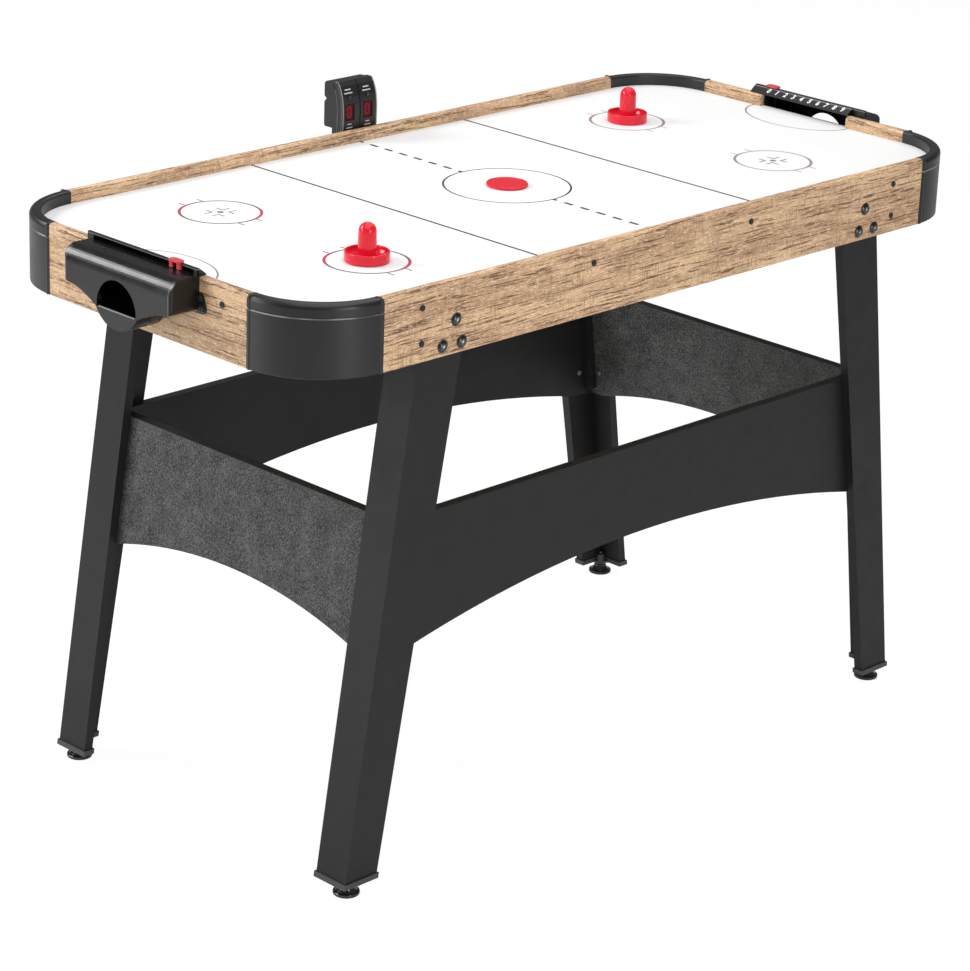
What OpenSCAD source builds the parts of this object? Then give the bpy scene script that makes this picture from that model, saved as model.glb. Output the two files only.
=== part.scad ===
// Air hockey table: aprons and corner caps round a playfield with a blower under it, a goal box
// at each end, an electronic scorer behind the far rail, and four splayed legs with arched panels.
// Origin: on the floor at the middle of the table. X runs along it, the scorer is on the +Y side.

/* [Table] */
// Overall length over the end aprons
table_l = 1372; // [1250:2:1500]
// Overall width over the long aprons
table_w = 662; // [600:2:720]
// Height of the rail tops over the floor
rail_h = 870; // [820:1:920]
// Height of the apron boards
apron_h = 102; // [96:1:115]
// Thickness of the apron boards
apron_t = 16; // [14:0.5:18]
// Rounding along the top edges of the aprons
apron_round = 5.5; // [2:0.5:8]
// Outer radius of the corners, which is also where the aprons end
corner_r = 125; // [110:1:140]
// How far the playfield lies below the rail tops
play_drop = 18; // [14:0.5:20]
// Thickness of the playfield board
play_t = 18; // [15:0.5:20]
// Gap round the edge of the playfield
play_gap = 0.3; // [0.2:0.05:0.5]

/* [Corner caps] */
// Wall of the corner cap mouldings
cap_wall = 3; // [2:0.25:4]
// How far a cap stands proud of the aprons
cap_proud = 1; // [0.5:0.25:2]
// Radius of the bead at each end of a cap
cap_bead_r = 4; // [3:0.25:5]
// Rounding of the outer top edge of a cap
cap_round = 8; // [5:0.5:10]
// Depth of the groove that runs round a cap
cap_groove = 1.5; // [0.5:0.25:1.5]
// Gap between a leg and the cap's tongue behind the long apron
tongue_gap = 2.4; // [1:0.1:12]
// Length of the cap's tongue behind an end apron
tongue_end = 56; // [30:1:60]

/* [Legs] */
// Thickness of the leg boards and leg panels
leg_t = 15; // [12:0.5:18]
// How far the legs lean outwards, in degrees
leg_splay = 8.5; // [6:0.25:10]
// Distance from the ends of the table to the outer corners of the legs, at floor level
leg_inset = 89.7; // [84:0.1:120]
// Width of a leg's side board under the playfield
leg_top_w = 84; // [78:1:90]
// Width of a leg's side board at the foot
leg_foot_w = 59.5; // [50:0.5:66]
// Width of a leg's end board
leg_end_w = 59; // [50:1:64]
// Height of the leg panels' top edges over the floor
panel_top = 535; // [500:1:560]
// Height of the leg panels' lower edges where they meet the legs
panel_low = 343; // [320:1:370]
// Rise of the long panels' arch
long_arch = 55; // [30:1:80]
// Rise of the end panels' arch
end_arch = 37.5; // [20:0.5:60]

/* [Feet] */
// Height of the foot shoes' underside
shoe_z = 19; // [16:0.5:24]
// Height of the foot shoes' rim
shoe_h = 8; // [6:0.5:12]
// Floor of the foot shoes
shoe_floor = 3; // [2:0.5:4]
// Wall of the foot shoes
shoe_wall = 2; // [1.5:0.25:3]
// Clearance between the leg boards and the shoes
shoe_gap = 0.2; // [0.1:0.05:0.4]
// Radius of the leveller discs
leveller_r = 19; // [16:0.5:22]
// Radius of the leveller stems
stem_r = 4; // [3:0.25:5]
// Running clearance round the leveller stems
stem_gap = 0.05; // [0.02:0.01:0.1]

/* [Goals] */
// Width of the goal mouths
mouth_w = 177; // [150:1:180]
// How far the goal mouths and the score hoods sit off the middle of the end aprons
goal_shift = 3; // [0:0.5:4]
// Length of a goal box along the end apron
box_l = 222; // [212:1:226]
// How far a goal box stands out from the end apron
box_d = 50; // [44:1:60]
// Wall of the goal box mouldings
box_wall = 3; // [2:0.25:4]
// Wall of a goal box against the end apron
back_wall = 2; // [1.5:0.25:3]
// Rounding of a goal box's two upright front edges
box_edge = 5; // [4:0.5:8]
// Rounding of a goal box's upper edge
box_round = 22; // [14:1:28]
// Height of a goal box's top over the rail tops
box_rise = 2; // [1:0.5:4]
// Depth of a goal box's wings below the rail tops
wing_drop = 48; // [42:1:54]
// Depth of the lip of the puck pocket below the rail tops
lip_drop = 67; // [62:1:72]
// Half the width of the puck pocket at its lip
pocket_half = 43; // [40:1:50]
// Depth of the puck pocket below its lip
pocket_h = 25; // [20:1:30]
// Radius of the arched opening
arch_r = 41; // [36:1:42]
// Height of a score hood over the rail tops
hood_rise = 11.5; // [9:0.5:14]
// Length of a score hood's back plate
hood_l = 227; // [225:1:236]
// Thickness of a score hood's back plate
hood_t = 4; // [3.5:0.25:5]
// How far the number strip reaches in over the end apron
strip_in = 12; // [9:0.5:15]
// Wall of the sleeve that lines a goal mouth
sleeve_wall = 2; // [1.5:0.25:3]
// How far the sleeve reaches into the end apron
sleeve_in = 7.3; // [4:0.1:12]
// Thickness of the playfield's laps in the goal mouths
lap_t = 4; // [3:0.5:8]
// Thickness of the hood's sill, a step below the playfield
sill_t = 1.2; // [0.8:0.2:2.4]
// Distance between two numbers on the strip
number_pitch = 17; // [15:0.5:17.5]
// Length of a score marker
marker_l = 24; // [18:1:26]
// Score that the left marker shows
left_score = 0.5; // [0:0.5:9]
// Clearance round a score marker
marker_gap = 0.4; // [0.3:0.05:0.6]

/* [Scorer] */
// Place of the scorer's middle along the table
scorer_x = 14; // [-100:1:100]
// Width of the scorer
scorer_w = 72; // [66:1:84]
// Distance of the first side groove from the scorer's front
rib_in = 2.5; // [2:0.5:4]
// Distance between the two side grooves
rib_step = 9.5; // [6:0.5:10]
// Width of the side grooves
rib_cut = 1.6; // [1:0.2:2]
// Height of the scorer's top over the rail tops
scorer_rise = 71.5; // [68:0.5:80]
// Width of the scorer windows
window_w = 20; // [12:1:22]
// Height of the scorer windows
window_h = 26; // [20:1:28]
// Distance between the two window middles
window_pitch = 37.5; // [34:0.5:40]
// How far the windows sit off the middle of their halves
window_shift = 2.5; // [0:0.5:3]
// Wall of the scorer shells
scorer_wall = 2.5; // [2:0.25:3]
// Radius of the scorer push-buttons
button_r = 3; // [2:0.25:4]
// Travel of the scorer push-buttons
button_travel = 1; // [0.5:0.25:1.5]
// Clearance round the push-buttons
button_gap = 0.3; // [0.2:0.05:0.4]

/* [Blower] */
// Radius of the blower housing
blower_r = 72; // [64:1:80]
// Height of the blower housing
blower_h = 31; // [28:1:32]
// Wall of the blower housing
blower_wall = 3; // [2:0.25:4]
// Height of the air chamber
chamber_h = 25; // [18:1:26]
// Radius of the impeller
impeller_r = 52; // [44:1:56]
// Number of impeller blades
blades = 16; // [8:1:24]
// Running clearance round the motor shaft
shaft_gap = 0.05; // [0.02:0.01:0.1]

/* [Puck and pushers] */
// Radius of the puck
puck_r = 31; // [25:0.5:34]
// Thickness of the puck
puck_t = 4.5; // [3:0.5:6]
// Radius of a pusher's base
pusher_r = 31.5; // [28:0.5:38]
// Height of a pusher
pusher_h = 54.5; // [44:0.5:60]
// Height of a pusher's base ring
pusher_ring = 15; // [12:0.5:18]
// Radius of a pusher's handle at its foot
handle_r = 13.5; // [11:0.5:16]
// Distance from the ends of the table to a pusher
pusher_end = 262.5; // [200:0.5:330]
// Distance from the long sides of the table to a pusher
pusher_side = 179.5; // [140:0.5:200]
// Air gap under the puck and the pushers
air_gap = 0.3; // [0.2:0.05:0.5]

/* [Fasteners] */
// Radius of the leg bolts
bolt_r = 3; // [2.5:0.25:4]
// Radius of the leg bolts' domed heads
bolt_head_r = 9.5; // [7:0.5:11]
// Height of the leg bolts' domed heads
bolt_head_h = 5; // [3:0.5:6]
// Radius of the wood screws
screw_r = 2; // [1.5:0.25:2.5]
// Radius of the wood screws' heads
screw_head_r = 4.5; // [3.5:0.25:6]
// Height of the wood screws' heads
screw_head_h = 2.2; // [1.5:0.1:3]
// Clearance round bolts and screws in their holes
hole_gap = 0.2; // [0.1:0.05:0.4]

/* [Hidden] */
$fn = 64;
eps = 0.01;
half_l = table_l / 2;
half_w = table_w / 2;
apron_z = rail_h - apron_h;
inner_x = half_l - apron_t;
inner_y = half_w - apron_t;
seam_x = half_l - corner_r;
seam_y = half_w - corner_r;
play_z = rail_h - play_drop;
play_under = play_z - play_t;
cap_in_r = corner_r - apron_t;
cap_out_r = corner_r + cap_proud;
groove_z = rail_h - play_drop - 1;
tongue_lift = 6;
tongue_z = apron_z + tongue_lift;
cap_lip_r = 4;
bead_sink = 0.8;
top_round = min(apron_round, apron_t / 2 - 0.1);
screw_z = play_z - play_t / 2;
tongue_screw_drop = 76;
tongue_screw_in = 9;
apron_screw_in = 396;
end_screw_in = 49;
tongue_screw_z = rail_h - tongue_screw_drop;
apron_screw_x = seam_x - apron_screw_in;
end_screw_y = seam_y - end_screw_in;
thread_in = 17;

leg_lean = tan(leg_splay);
leg_floor_x = half_l - leg_inset;
tongue_long = seam_x + leg_x(tongue_z) - tongue_gap;
tongue_screw_x = seam_x - tongue_long + tongue_screw_in;
// Places of a leg's three bolts: drop under the rail top, and offset from the leg's outer corner line
bolt_high_drop = 55;
bolt_low_drop = 88;
bolt_mid = 46;
bolt_outer = 27;
bolt_inner = 62.5;
bolt_places = [[bolt_mid, bolt_high_drop], [bolt_outer, bolt_low_drop], [bolt_inner, bolt_low_drop]];
washer_r = 8;
washer_t = 1.5;
nut_r = 5.8;
nut_h = 4.5;
socket_r = 3.4;
socket_d = 2.5;
leg_step = leg_t / cos(leg_splay);
leg_top = play_under - 2;
leg_foot = shoe_z + shoe_floor;
shoe_top = shoe_z + shoe_h;
panel_grip = 2 * leg_t - 3;
board_x = leg_floor_x - leg_lean * leg_foot;
leveller_x = board_x - leg_step - stem_r - 3;
leveller_y = inner_y - leg_t - stem_r - 1.5;
boss_r = stem_r + 4;
boss_h = 14;
stem_top = shoe_z + boss_h + 5;
hub_gap = 0.4;
neck_r = 8.5;

box_out = half_l + box_d;
box_top = rail_h + box_rise;
box_half = box_l / 2;
wing_z = rail_h - wing_drop;
lip_z = rail_h - lip_drop;
wing_round = 10;
mouth_half = mouth_w / 2;
lap_z = play_z - lap_t;
arch_z = lip_z + 3;
ear_y = box_half + 8.5;
ear_z = rail_h - 42;
ear_r = 7;
ear_high_y = box_half + 5;
ear_high_z = rail_h - 27.5;
ear_high_r = 5.5;
marker_y = number_pitch * 4.5;
hood_top = rail_h + hood_rise;
hood_low = rail_h - 10;
hood_half = hood_l / 2;
slot_half = marker_y + 27.5;
slot_d = 2.5;
slot_low = rail_h + 2.2;
slot_high = hood_top - 2.6;
strip_lip = 2;
marker_t = 2.2;
marker_w = 13;
marker_round = 5;
prong_t = 2.4;
prong_w = 6.5;
prong_y = 7.5;
play_fit = 0.3;

scorer_y = half_w + 2;
scorer_top = rail_h + scorer_rise;
scorer_low = rail_h - 34;
scorer_split = scorer_y + 24;
scorer_back = scorer_split + 19;
back_low = rail_h - 2;
window_z = rail_h + 25.3;
button_z = rail_h + 48;
lens_y = scorer_y + 1.5;
lens_t = 2;
board_y = scorer_y + 17;
button_face = scorer_y + 0.4;
button_end = scorer_y + 12.5;
collar_y = scorer_y + 6.6;
collar_t = 1.4;
bracket_t = 2;

chamber_end = 126;
chamber_gap = 12;
chamber_x = half_l - chamber_end;
chamber_y = inner_y - leg_end_w - chamber_gap;
chamber_wall = 12;
chamber_floor = 3;
chamber_z = play_under - chamber_h;
floor_z = chamber_z - chamber_floor;
blower_z = floor_z - blower_h;
intake_r = 36;
shaft_r = 2;
motor_r = 16;
motor_h = 14;
boss_x = blower_r - 1;
boss_out = blower_r + 10;
inlet_z = blower_z + 16;
inlet_r = 5.2;
rocker_l = 17.2;
rocker_r = 5.4;
rocker_gap = 0.5;
rocker_tilt = 8;
rocker_y = -blower_r - 3;
rocker_z = blower_z + 15.5;
air_hole_r = 0.5;
air_pitch = 60;
strip_t = 16;
pusher_x = half_l - pusher_end;
pusher_y = half_w - pusher_side;

// Points along an arc in degrees
function arc(cx, cy, r, a0, a1, n = 8) =
    [for (i = [0 : n]) let (a = a0 + (a1 - a0) * i / n) [cx + r * cos(a), cy + r * sin(a)]];

// X of a leg's outer corner line and of its side board's inner edge, at height z, on the left side
function leg_x(z) = -leg_floor_x + leg_lean * z;
function leg_w(z) = leg_foot_w + (leg_top_w - leg_foot_w) * (z - leg_foot) / (leg_top - leg_foot);

// Stands a profile drawn in X and Z upright, from y on, t thick
module upright(y, t) {
    translate([0, y + t, 0]) rotate([90, 0, 0]) linear_extrude(t) children();
}

// Runs a profile drawn in Y and Z along X, from x on, t long
module along_x(x, t) {
    translate([x, 0, 0]) rotate([90, 0, 90]) linear_extrude(t) children();
}

// Puts what is made for the front left corner at another corner
module corner(right, back) {
    mirror([right ? 1 : 0, 0, 0]) mirror([0, back ? 1 : 0, 0]) children();
}

module all_corners() {
    for (right = [false, true], back = [false, true]) corner(right, back) children();
}

module both_ends() {
    for (turn = [0, 180]) rotate([0, 0, turn]) children();
}

// A rod along Y, from y on, l long
module rod_y(x, y, z, r, l) {
    translate([x, y, z]) rotate([-90, 0, 0]) cylinder(r = r, h = l);
}

// A rod along X, from x on, l long
module rod_x(x, y, z, r, l) {
    translate([x, y, z]) rotate([0, 90, 0]) cylinder(r = r, h = l);
}

// ---- Aprons, caps and playfield ----

// Section of an apron: square foot, rounded top edges
module apron_section() {
    square([apron_t, apron_h - top_round]);
    translate([top_round, 0]) square([apron_t - 2 * top_round, apron_h]);
    for (x = [top_round, apron_t - top_round]) {
        translate([x, apron_h - top_round]) circle(top_round);
    }
}

// Holes for the leg bolts, the playfield screws and the cap screws in the front long apron
module front_apron_holes() {
    all_sides_x() leg_bolt_places() rod_y(0, -half_w - 1, 0, bolt_r + hole_gap, apron_t + 2);
    all_sides_x() front_screw_places() rod_y(0, -half_w - 1, 0, screw_r + hole_gap, apron_t + 2);
}

module all_sides_x() {
    for (right = [0, 1]) mirror([right, 0, 0]) children();
}

// Places of a leg's three bolts on the front left leg
module leg_bolt_places() {
    for (place = bolt_places) {
        z = rail_h - place[1];
        translate([leg_x(z) + place[0], 0, z]) children();
    }
}

// Places of the small screws on the left half of the front apron
module front_screw_places() {
    translate([-tongue_screw_x, 0, screw_z]) children();
    translate([-tongue_screw_x, 0, tongue_screw_z]) children();
    translate([-apron_screw_x, 0, screw_z]) children();
}

module long_apron() {
    color("burlywood") difference() {
        translate([-seam_x, -half_w, apron_z]) rotate([90, 0, 90])
            linear_extrude(2 * seam_x) apron_section();
        front_apron_holes();
    }
}

// The left end apron, with the goal mouth cut in from the top, deep enough for the playfield's lap
module end_apron() {
    color("burlywood") difference() {
        translate([-inner_x, seam_y, apron_z]) rotate([90, 0, 0]) mirror([1, 0, 0])
            linear_extrude(2 * seam_y) apron_section();
        translate([-half_l - 1, goal_shift - mouth_half, lap_z - play_gap])
            cube([apron_t + 2, mouth_w, play_drop + lap_t + 1]);
        for (side = [-1, 1]) {
            rod_x(-half_l - 1, side * end_screw_y, screw_z, screw_r + hole_gap, apron_t + 2);
        }
        for (side = [0, 1]) mirror([0, side, 0]) ear_screw_places()
            rod_x(-half_l - 1, 0, 0, screw_r + hole_gap, apron_t + 2);
    }
}

// Section of a corner cap, radius and height: outer wall, rounded top and inner wall
module cap_section() {
    polygon(concat(
        [[cap_in_r, play_under], [cap_in_r, rail_h - cap_lip_r]],
        arc(cap_in_r + cap_lip_r, rail_h - cap_lip_r, cap_lip_r, 180, 90),
        arc(cap_out_r - cap_round, rail_h - cap_round, cap_round, 90, 0),
        [[cap_out_r, groove_z + 1.2], [cap_out_r - cap_groove, groove_z + 0.9]],
        [[cap_out_r - cap_groove, groove_z], [cap_out_r, groove_z - 1.8]],
        [[cap_out_r, apron_z + 1], [cap_out_r - 1, apron_z], [cap_out_r - cap_wall, apron_z]],
        [[cap_out_r - cap_wall, rail_h - cap_round], [cap_out_r - cap_round, rail_h - cap_wall]],
        [[cap_in_r + cap_wall, rail_h - cap_wall], [cap_in_r + cap_wall, play_under]]
    ));
}

// One end of a cap: the bead over the seam, the closing plate and the tongue behind the apron
module cap_end(tongue, screwed) {
    bead_y = -corner_r - cap_proud + cap_bead_r - bead_sink;
    bead_top = rail_h - cap_bead_r + bead_sink;
    translate([-cap_bead_r, bead_y, apron_z]) cylinder(r = cap_bead_r, h = bead_top - apron_z);
    translate([-cap_bead_r, bead_y, bead_top]) sphere(cap_bead_r);
    rod_y(-cap_bead_r, bead_y, bead_top, cap_bead_r, -bead_y - cap_in_r - cap_bead_r);
    translate([-cap_wall, -corner_r, apron_z]) cube([cap_wall, apron_t + cap_wall, play_under - apron_z]);
    difference() {
        translate([-cap_wall, -cap_in_r, tongue_z])
            cube([tongue + cap_wall, cap_wall, play_under - 2 - tongue_z]);
        if (screwed) translate([tongue - tongue_screw_in, 0, tongue_screw_z])
            rod_y(0, -cap_in_r - 1, 0, screw_r + hole_gap, cap_wall + 2);
    }
}

module corner_cap() {
    color("dimgray") translate([-seam_x, -seam_y, 0]) {
        rotate([0, 0, 180]) rotate_extrude(angle = 90, $fn = 96) cap_section();
        cap_end(tongue_long, true);
        mirror([1, -1, 0]) cap_end(tongue_end, false);
    }
}

// Playfield board with a lap in each goal mouth
module playfield() {
    x = inner_x - play_gap;
    y = inner_y - play_gap;
    r = cap_in_r - play_gap;
    color("white") difference() {
        union() {
            translate([-x, -y + r, play_under]) cube([2 * x, 2 * (y - r), play_t]);
            translate([-x + r, -y, play_under]) cube([2 * (x - r), 2 * y, play_t]);
            all_corners() translate([-x + r, -y + r, play_under]) cylinder(r = r, h = play_t, $fn = 96);
            both_ends() translate([-half_l + sleeve_in + play_gap, goal_shift - mouth_half + play_gap, lap_z])
                cube([apron_t, mouth_w - 2 * play_gap, lap_t]);
        }
        all_corners() {
            for (sx = [tongue_screw_x, apron_screw_x]) {
                rod_y(-sx, -y - 1, screw_z, screw_r + hole_gap, 20);
            }
            rod_x(-x - 1, -end_screw_y, screw_z, screw_r + hole_gap, 20);
        }
        for (i = [-8 : 8], j = [-3 : 3]) {
            translate([i * air_pitch, j * air_pitch, play_under - 1])
                cylinder(r = air_hole_r, h = play_t + 2, $fn = 16);
        }
    }
}

module support_strips() {
    long_half = -leg_x(leg_top) - leg_w(leg_top) - 12;
    end_half = seam_y - tongue_end - 3;
    color("tan") for (turn = [0, 180]) rotate([0, 0, turn]) {
        translate([-long_half, -inner_y, play_under - strip_t]) cube([2 * long_half, strip_t, strip_t]);
        translate([-inner_x, -end_half, play_under - strip_t]) cube([strip_t, 2 * end_half, strip_t]);
    }
}

// ---- Air chamber and blower ----

module air_chamber_walls() {
    color("tan") difference() {
        translate([-chamber_x, -chamber_y, chamber_z]) cube([2 * chamber_x, 2 * chamber_y, chamber_h]);
        translate([-chamber_x + chamber_wall, -chamber_y + chamber_wall, chamber_z - 1])
            cube([2 * (chamber_x - chamber_wall), 2 * (chamber_y - chamber_wall), chamber_h + 2]);
    }
}

module air_chamber_floor() {
    color("peru") difference() {
        translate([-chamber_x, -chamber_y, floor_z]) cube([2 * chamber_x, 2 * chamber_y, chamber_floor]);
        translate([0, 0, floor_z - 1]) cylinder(r = blower_r - 12, h = chamber_floor + 2);
    }
}

module blower_housing() {
    color("dimgray") difference() {
        union() {
            translate([0, 0, blower_z]) cylinder(r = blower_r, h = blower_h);
            translate([0, 0, floor_z - 3]) for (turn = [45 : 90 : 315]) rotate([0, 0, turn])
                translate([blower_r - 2, -8, 0]) cube([16, 16, 3]);
            translate([blower_r - 4, -12, inlet_z - 8]) cube([boss_out - blower_r + 4, 24, 16]);
            translate([-rocker_l / 2 - 4, rocker_y - 5, rocker_z - 9]) cube([rocker_l + 8, 14, 18]);
        }
        translate([0, 0, blower_z + blower_wall]) cylinder(r = blower_r - blower_wall, h = blower_h);
        translate([0, 0, blower_z - 1]) cylinder(r = intake_r, h = blower_wall + 2);
        rod_x(boss_x, 0, inlet_z, inlet_r, boss_out);
        translate([-rocker_l / 2 - rocker_gap, rocker_y - 3 * rocker_r, rocker_z - rocker_r - rocker_gap])
            cube([rocker_l + 2 * rocker_gap, 4 * rocker_r + rocker_gap, 2 * (rocker_r + rocker_gap)]);
        rod_x(-rocker_l / 2 - 2.1, rocker_y, rocker_z, 1 + shaft_gap, rocker_l + 4.2);
    }
}

module blower_grille() {
    color("gray") translate([0, 0, blower_z - 2.5]) {
        for (r = [8, 16, 24, 32]) {
            difference() {
                cylinder(r = r + 1.5, h = 2.5);
                translate([0, 0, -1]) cylinder(r = r - 1.5, h = 5);
            }
        }
        difference() {
            cylinder(r = intake_r + 5, h = 2.5);
            translate([0, 0, -1]) cylinder(r = intake_r, h = 5);
        }
        for (turn = [0 : 45 : 315]) rotate([0, 0, turn]) translate([8, -1, 0]) cube([intake_r - 6, 2, 2.5]);
        cylinder(r = 8, h = 2.5);
    }
}

module blower_motor() {
    color("silver") difference() {
        translate([0, 0, blower_z]) cylinder(r = motor_r, h = motor_h);
        translate([0, 0, blower_z + 4]) cylinder(r = shaft_r + shaft_gap, h = motor_h);
    }
}

module blower_impeller() {
    disc_z = blower_z + blower_h - 6;
    color("black") {
        translate([0, 0, disc_z]) cylinder(r = impeller_r, h = 2);
        translate([0, 0, disc_z - 6]) cylinder(r = 6, h = 7);
        translate([0, 0, blower_z + 4.5]) cylinder(r = shaft_r, h = disc_z - blower_z);
        for (i = [0 : blades - 1]) rotate([0, 0, i * 360 / blades])
            translate([impeller_r - 14, 0, blower_z + blower_wall + 2]) rotate([0, 0, 25])
                cube([12, 1.2, disc_z - blower_z - blower_wall - 1]);
    }
}

module power_inlet() {
    color("black") {
        difference() {
            union() {
                rod_x(boss_x, 0, inlet_z, inlet_r, boss_out - boss_x);
                rod_x(boss_out, 0, inlet_z, inlet_r + 2, 2);
            }
            rod_x(boss_x + 2, 0, inlet_z, 2.75, boss_out);
        }
        rod_x(boss_x + 1, 0, inlet_z, 1, boss_out - boss_x - 1);
    }
}

module power_switch() {
    color("black") translate([0, rocker_y, rocker_z]) rotate([rocker_tilt, 0, 0]) {
        intersection() {
            rod_x(-rocker_l / 2, 0, 0, rocker_r, rocker_l);
            translate([-rocker_l / 2, -rocker_r, -rocker_r]) cube([rocker_l, rocker_r + 3, 2 * rocker_r]);
        }
        translate([-rocker_l / 2, -rocker_r - 2, -rocker_r + 2]) cube([rocker_l, rocker_r, 2 * rocker_r - 4]);
        rod_x(-rocker_l / 2 - 2, 0, 0, 1, rocker_l + 4);
    }
}

// ---- Legs ----

// Profile of a leaning board in X and Z, between two lines given at the two heights
module leaning(x_low, x_high, w_low, w_high, z_low, z_high) {
    polygon([[x_low, z_low], [x_low + w_low, z_low], [x_high + w_high, z_high], [x_high, z_high]]);
}

// Side board of the front left leg, behind the long apron
module leg_side() {
    color("dimgray") difference() {
        upright(-inner_y, leg_t) leaning(
            leg_x(leg_foot) + leg_step, leg_x(leg_top) + leg_step,
            leg_foot_w - leg_step, leg_top_w - leg_step, leg_foot, leg_top
        );
        leg_bolt_places() rod_y(0, -inner_y - 1, 0, bolt_r + hole_gap, leg_t + 2);
        long_screw_places() rod_y(0, -panel_grip, 0, screw_r + hole_gap, panel_grip);
    }
}

// End board of the front left leg, leaning with the splay
module leg_end() {
    color("dimgray") difference() {
        upright(-inner_y, leg_end_w) leaning(
            leg_x(leg_foot), leg_x(leg_top), leg_step, leg_step, leg_foot, leg_top
        );
        end_screw_places() rod_y(0, 0, 0, screw_r + hole_gap, panel_grip);
    }
}

// Places of the screws from a long panel's inner face into the front left leg's side board
module long_screw_places() {
    for (z = [panel_low + 40, panel_top - 40]) {
        translate([leg_x(z) + leg_w(z) - 16, -inner_y + 2 * leg_t, z]) children();
    }
}

// Places of the screws from the end panel's inner face into the front left leg's end board, turned
// so that +Y runs into the wood
module end_screw_places() {
    for (z = [panel_low + 40, panel_top - 40]) {
        translate([leg_x(z) + 2 * leg_step, -inner_y + leg_end_w - 7, z])
            rotate([0, leg_splay, 0]) rotate([0, 0, 90]) children();
    }
}

// Radius of an arch from half its width and its rise
function arch_radius(half, rise) = (half * half + rise * rise) / (2 * rise);

// Long panel behind the front legs' side boards
module long_panel() {
    half = -leg_x(panel_low) - leg_w(panel_low);
    r = arch_radius(half, long_arch);
    color("dimgray") difference() {
        upright(-inner_y + leg_t, leg_t) polygon([
            [leg_x(panel_low) + leg_step, panel_low], [-leg_x(panel_low) - leg_step, panel_low],
            [-leg_x(panel_top) - leg_step, panel_top], [leg_x(panel_top) + leg_step, panel_top]
        ]);
        rod_y(0, -inner_y + leg_t - 1, panel_low + long_arch - r, r, leg_t + 2, $fn = 256);
        all_sides_x() long_screw_places() rod_y(0, -leg_t - 1, 0, screw_r + hole_gap, leg_t + 2);
    }
}

// Left end panel, leaning with the legs' end boards
module end_panel() {
    half = inner_y - leg_end_w;
    reach = inner_y - 2 * leg_t;
    r = arch_radius(half, end_arch);
    color("dimgray") difference() {
        upright(-reach, 2 * reach) leaning(
            leg_x(panel_low) + leg_step, leg_x(panel_top) + leg_step, leg_step, leg_step, panel_low, panel_top
        );
        rod_x(
            leg_x(panel_low), 0, panel_low + end_arch - r, r,
            leg_x(panel_top) - leg_x(panel_low) + 3 * leg_step, $fn = 256
        );
        for (side = [0, 1]) mirror([0, side, 0])
            end_screw_places() rod_y(0, -1, 0, screw_r + hole_gap, leg_t + 2);
    }
}

// Block in the corner between a long panel and an end panel
module leg_bracket() {
    z_low = panel_low + 12;
    z_high = panel_top - 12;
    color("saddlebrown") upright(-inner_y + 2 * leg_t, leg_t) leaning(
        leg_x(z_low) + 2 * leg_step, leg_x(z_high) + 2 * leg_step, leg_t, leg_t, z_low, z_high
    );
}

// The space of a leg's two boards, grown by a margin, between two heights
module leg_space(margin, z_low, z_high) {
    upright(-inner_y - margin, leg_end_w + 2 * margin) leaning(
        leg_x(z_low) - margin, leg_x(z_high) - margin,
        leg_step + 2 * margin, leg_step + 2 * margin, z_low, z_high
    );
    upright(-inner_y - margin, leg_t + 2 * margin) leaning(
        leg_x(z_low) - margin, leg_x(z_high) - margin,
        leg_w(z_low) + 2 * margin, leg_w(z_high) + 2 * margin, z_low, z_high
    );
}

// Moulded shoe under the front left leg, with the web and boss that carry the leveller
module foot_shoe() {
    color("black") difference() {
        union() {
            leg_space(shoe_wall + shoe_gap, shoe_z, shoe_top);
            translate([0, 0, shoe_z]) linear_extrude(shoe_floor) polygon([
                [-board_x + leg_step - 2, -inner_y + leg_t - 2],
                [-board_x + leg_step + 26, -inner_y + leg_t - 2],
                [-board_x + leg_step - 2, -inner_y + leg_t + 26]
            ]);
            translate([-leveller_x, -leveller_y, shoe_z]) cylinder(r = boss_r, h = boss_h);
        }
        leg_space(shoe_gap, leg_foot, shoe_top + boss_h);
        translate([-leveller_x, -leveller_y, 0])
            cylinder(r = stem_r + stem_gap, h = shoe_top + boss_h + 1);
    }
}

// Screw foot: a flat ringed disc on a stem
module leveller() {
    color("black") translate([-leveller_x, -leveller_y, 0]) {
        rotate_extrude() polygon(concat(
            [[0, 0], [leveller_r - 2, 0]],
            arc(leveller_r - 2, 2, 2, -90, 0, 5),
            arc(leveller_r - 1.5, 4, 1.5, 0, 100, 5),
            [[leveller_r - 4, 6], [leveller_r - 6.5, 9], [neck_r + 2, 12.5], [neck_r + 1.5, 15]],
            [[neck_r, 15.5], [neck_r, shoe_z - hub_gap], [stem_r, shoe_z - hub_gap]],
            [[stem_r, stem_top - 0.5], [stem_r - 0.5, stem_top], [0, stem_top]]
        ));
    }
}

// ---- Fasteners ----

// Bolt along +Y with a domed socket head outside y and a washer and nut inside
module leg_bolt(y, grip) {
    difference() {
        union() {
            intersection() {
                dome_r = (bolt_head_r * bolt_head_r + bolt_head_h * bolt_head_h) / (2 * bolt_head_h);
                translate([0, y - bolt_head_h + dome_r, 0]) sphere(dome_r);
                rod_y(0, y - bolt_head_h - 1, 0, bolt_head_r, bolt_head_h + 1);
            }
            rod_y(0, y - 1, 0, bolt_r, grip + washer_t + nut_h + 3);
        }
        translate([0, y - bolt_head_h - 1, 0]) rotate([-90, 0, 0])
            cylinder(r = socket_r, h = socket_d + 1, $fn = 6);
    }
    rod_y(0, y + grip, 0, washer_r, washer_t);
    translate([0, y + grip + washer_t - eps, 0]) rotate([-90, 0, 0]) cylinder(r = nut_r, h = nut_h, $fn = 6);
}

module leg_bolts() {
    color("black") all_corners() leg_bolt_places() leg_bolt(-half_w, apron_t + leg_t);
}

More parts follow.
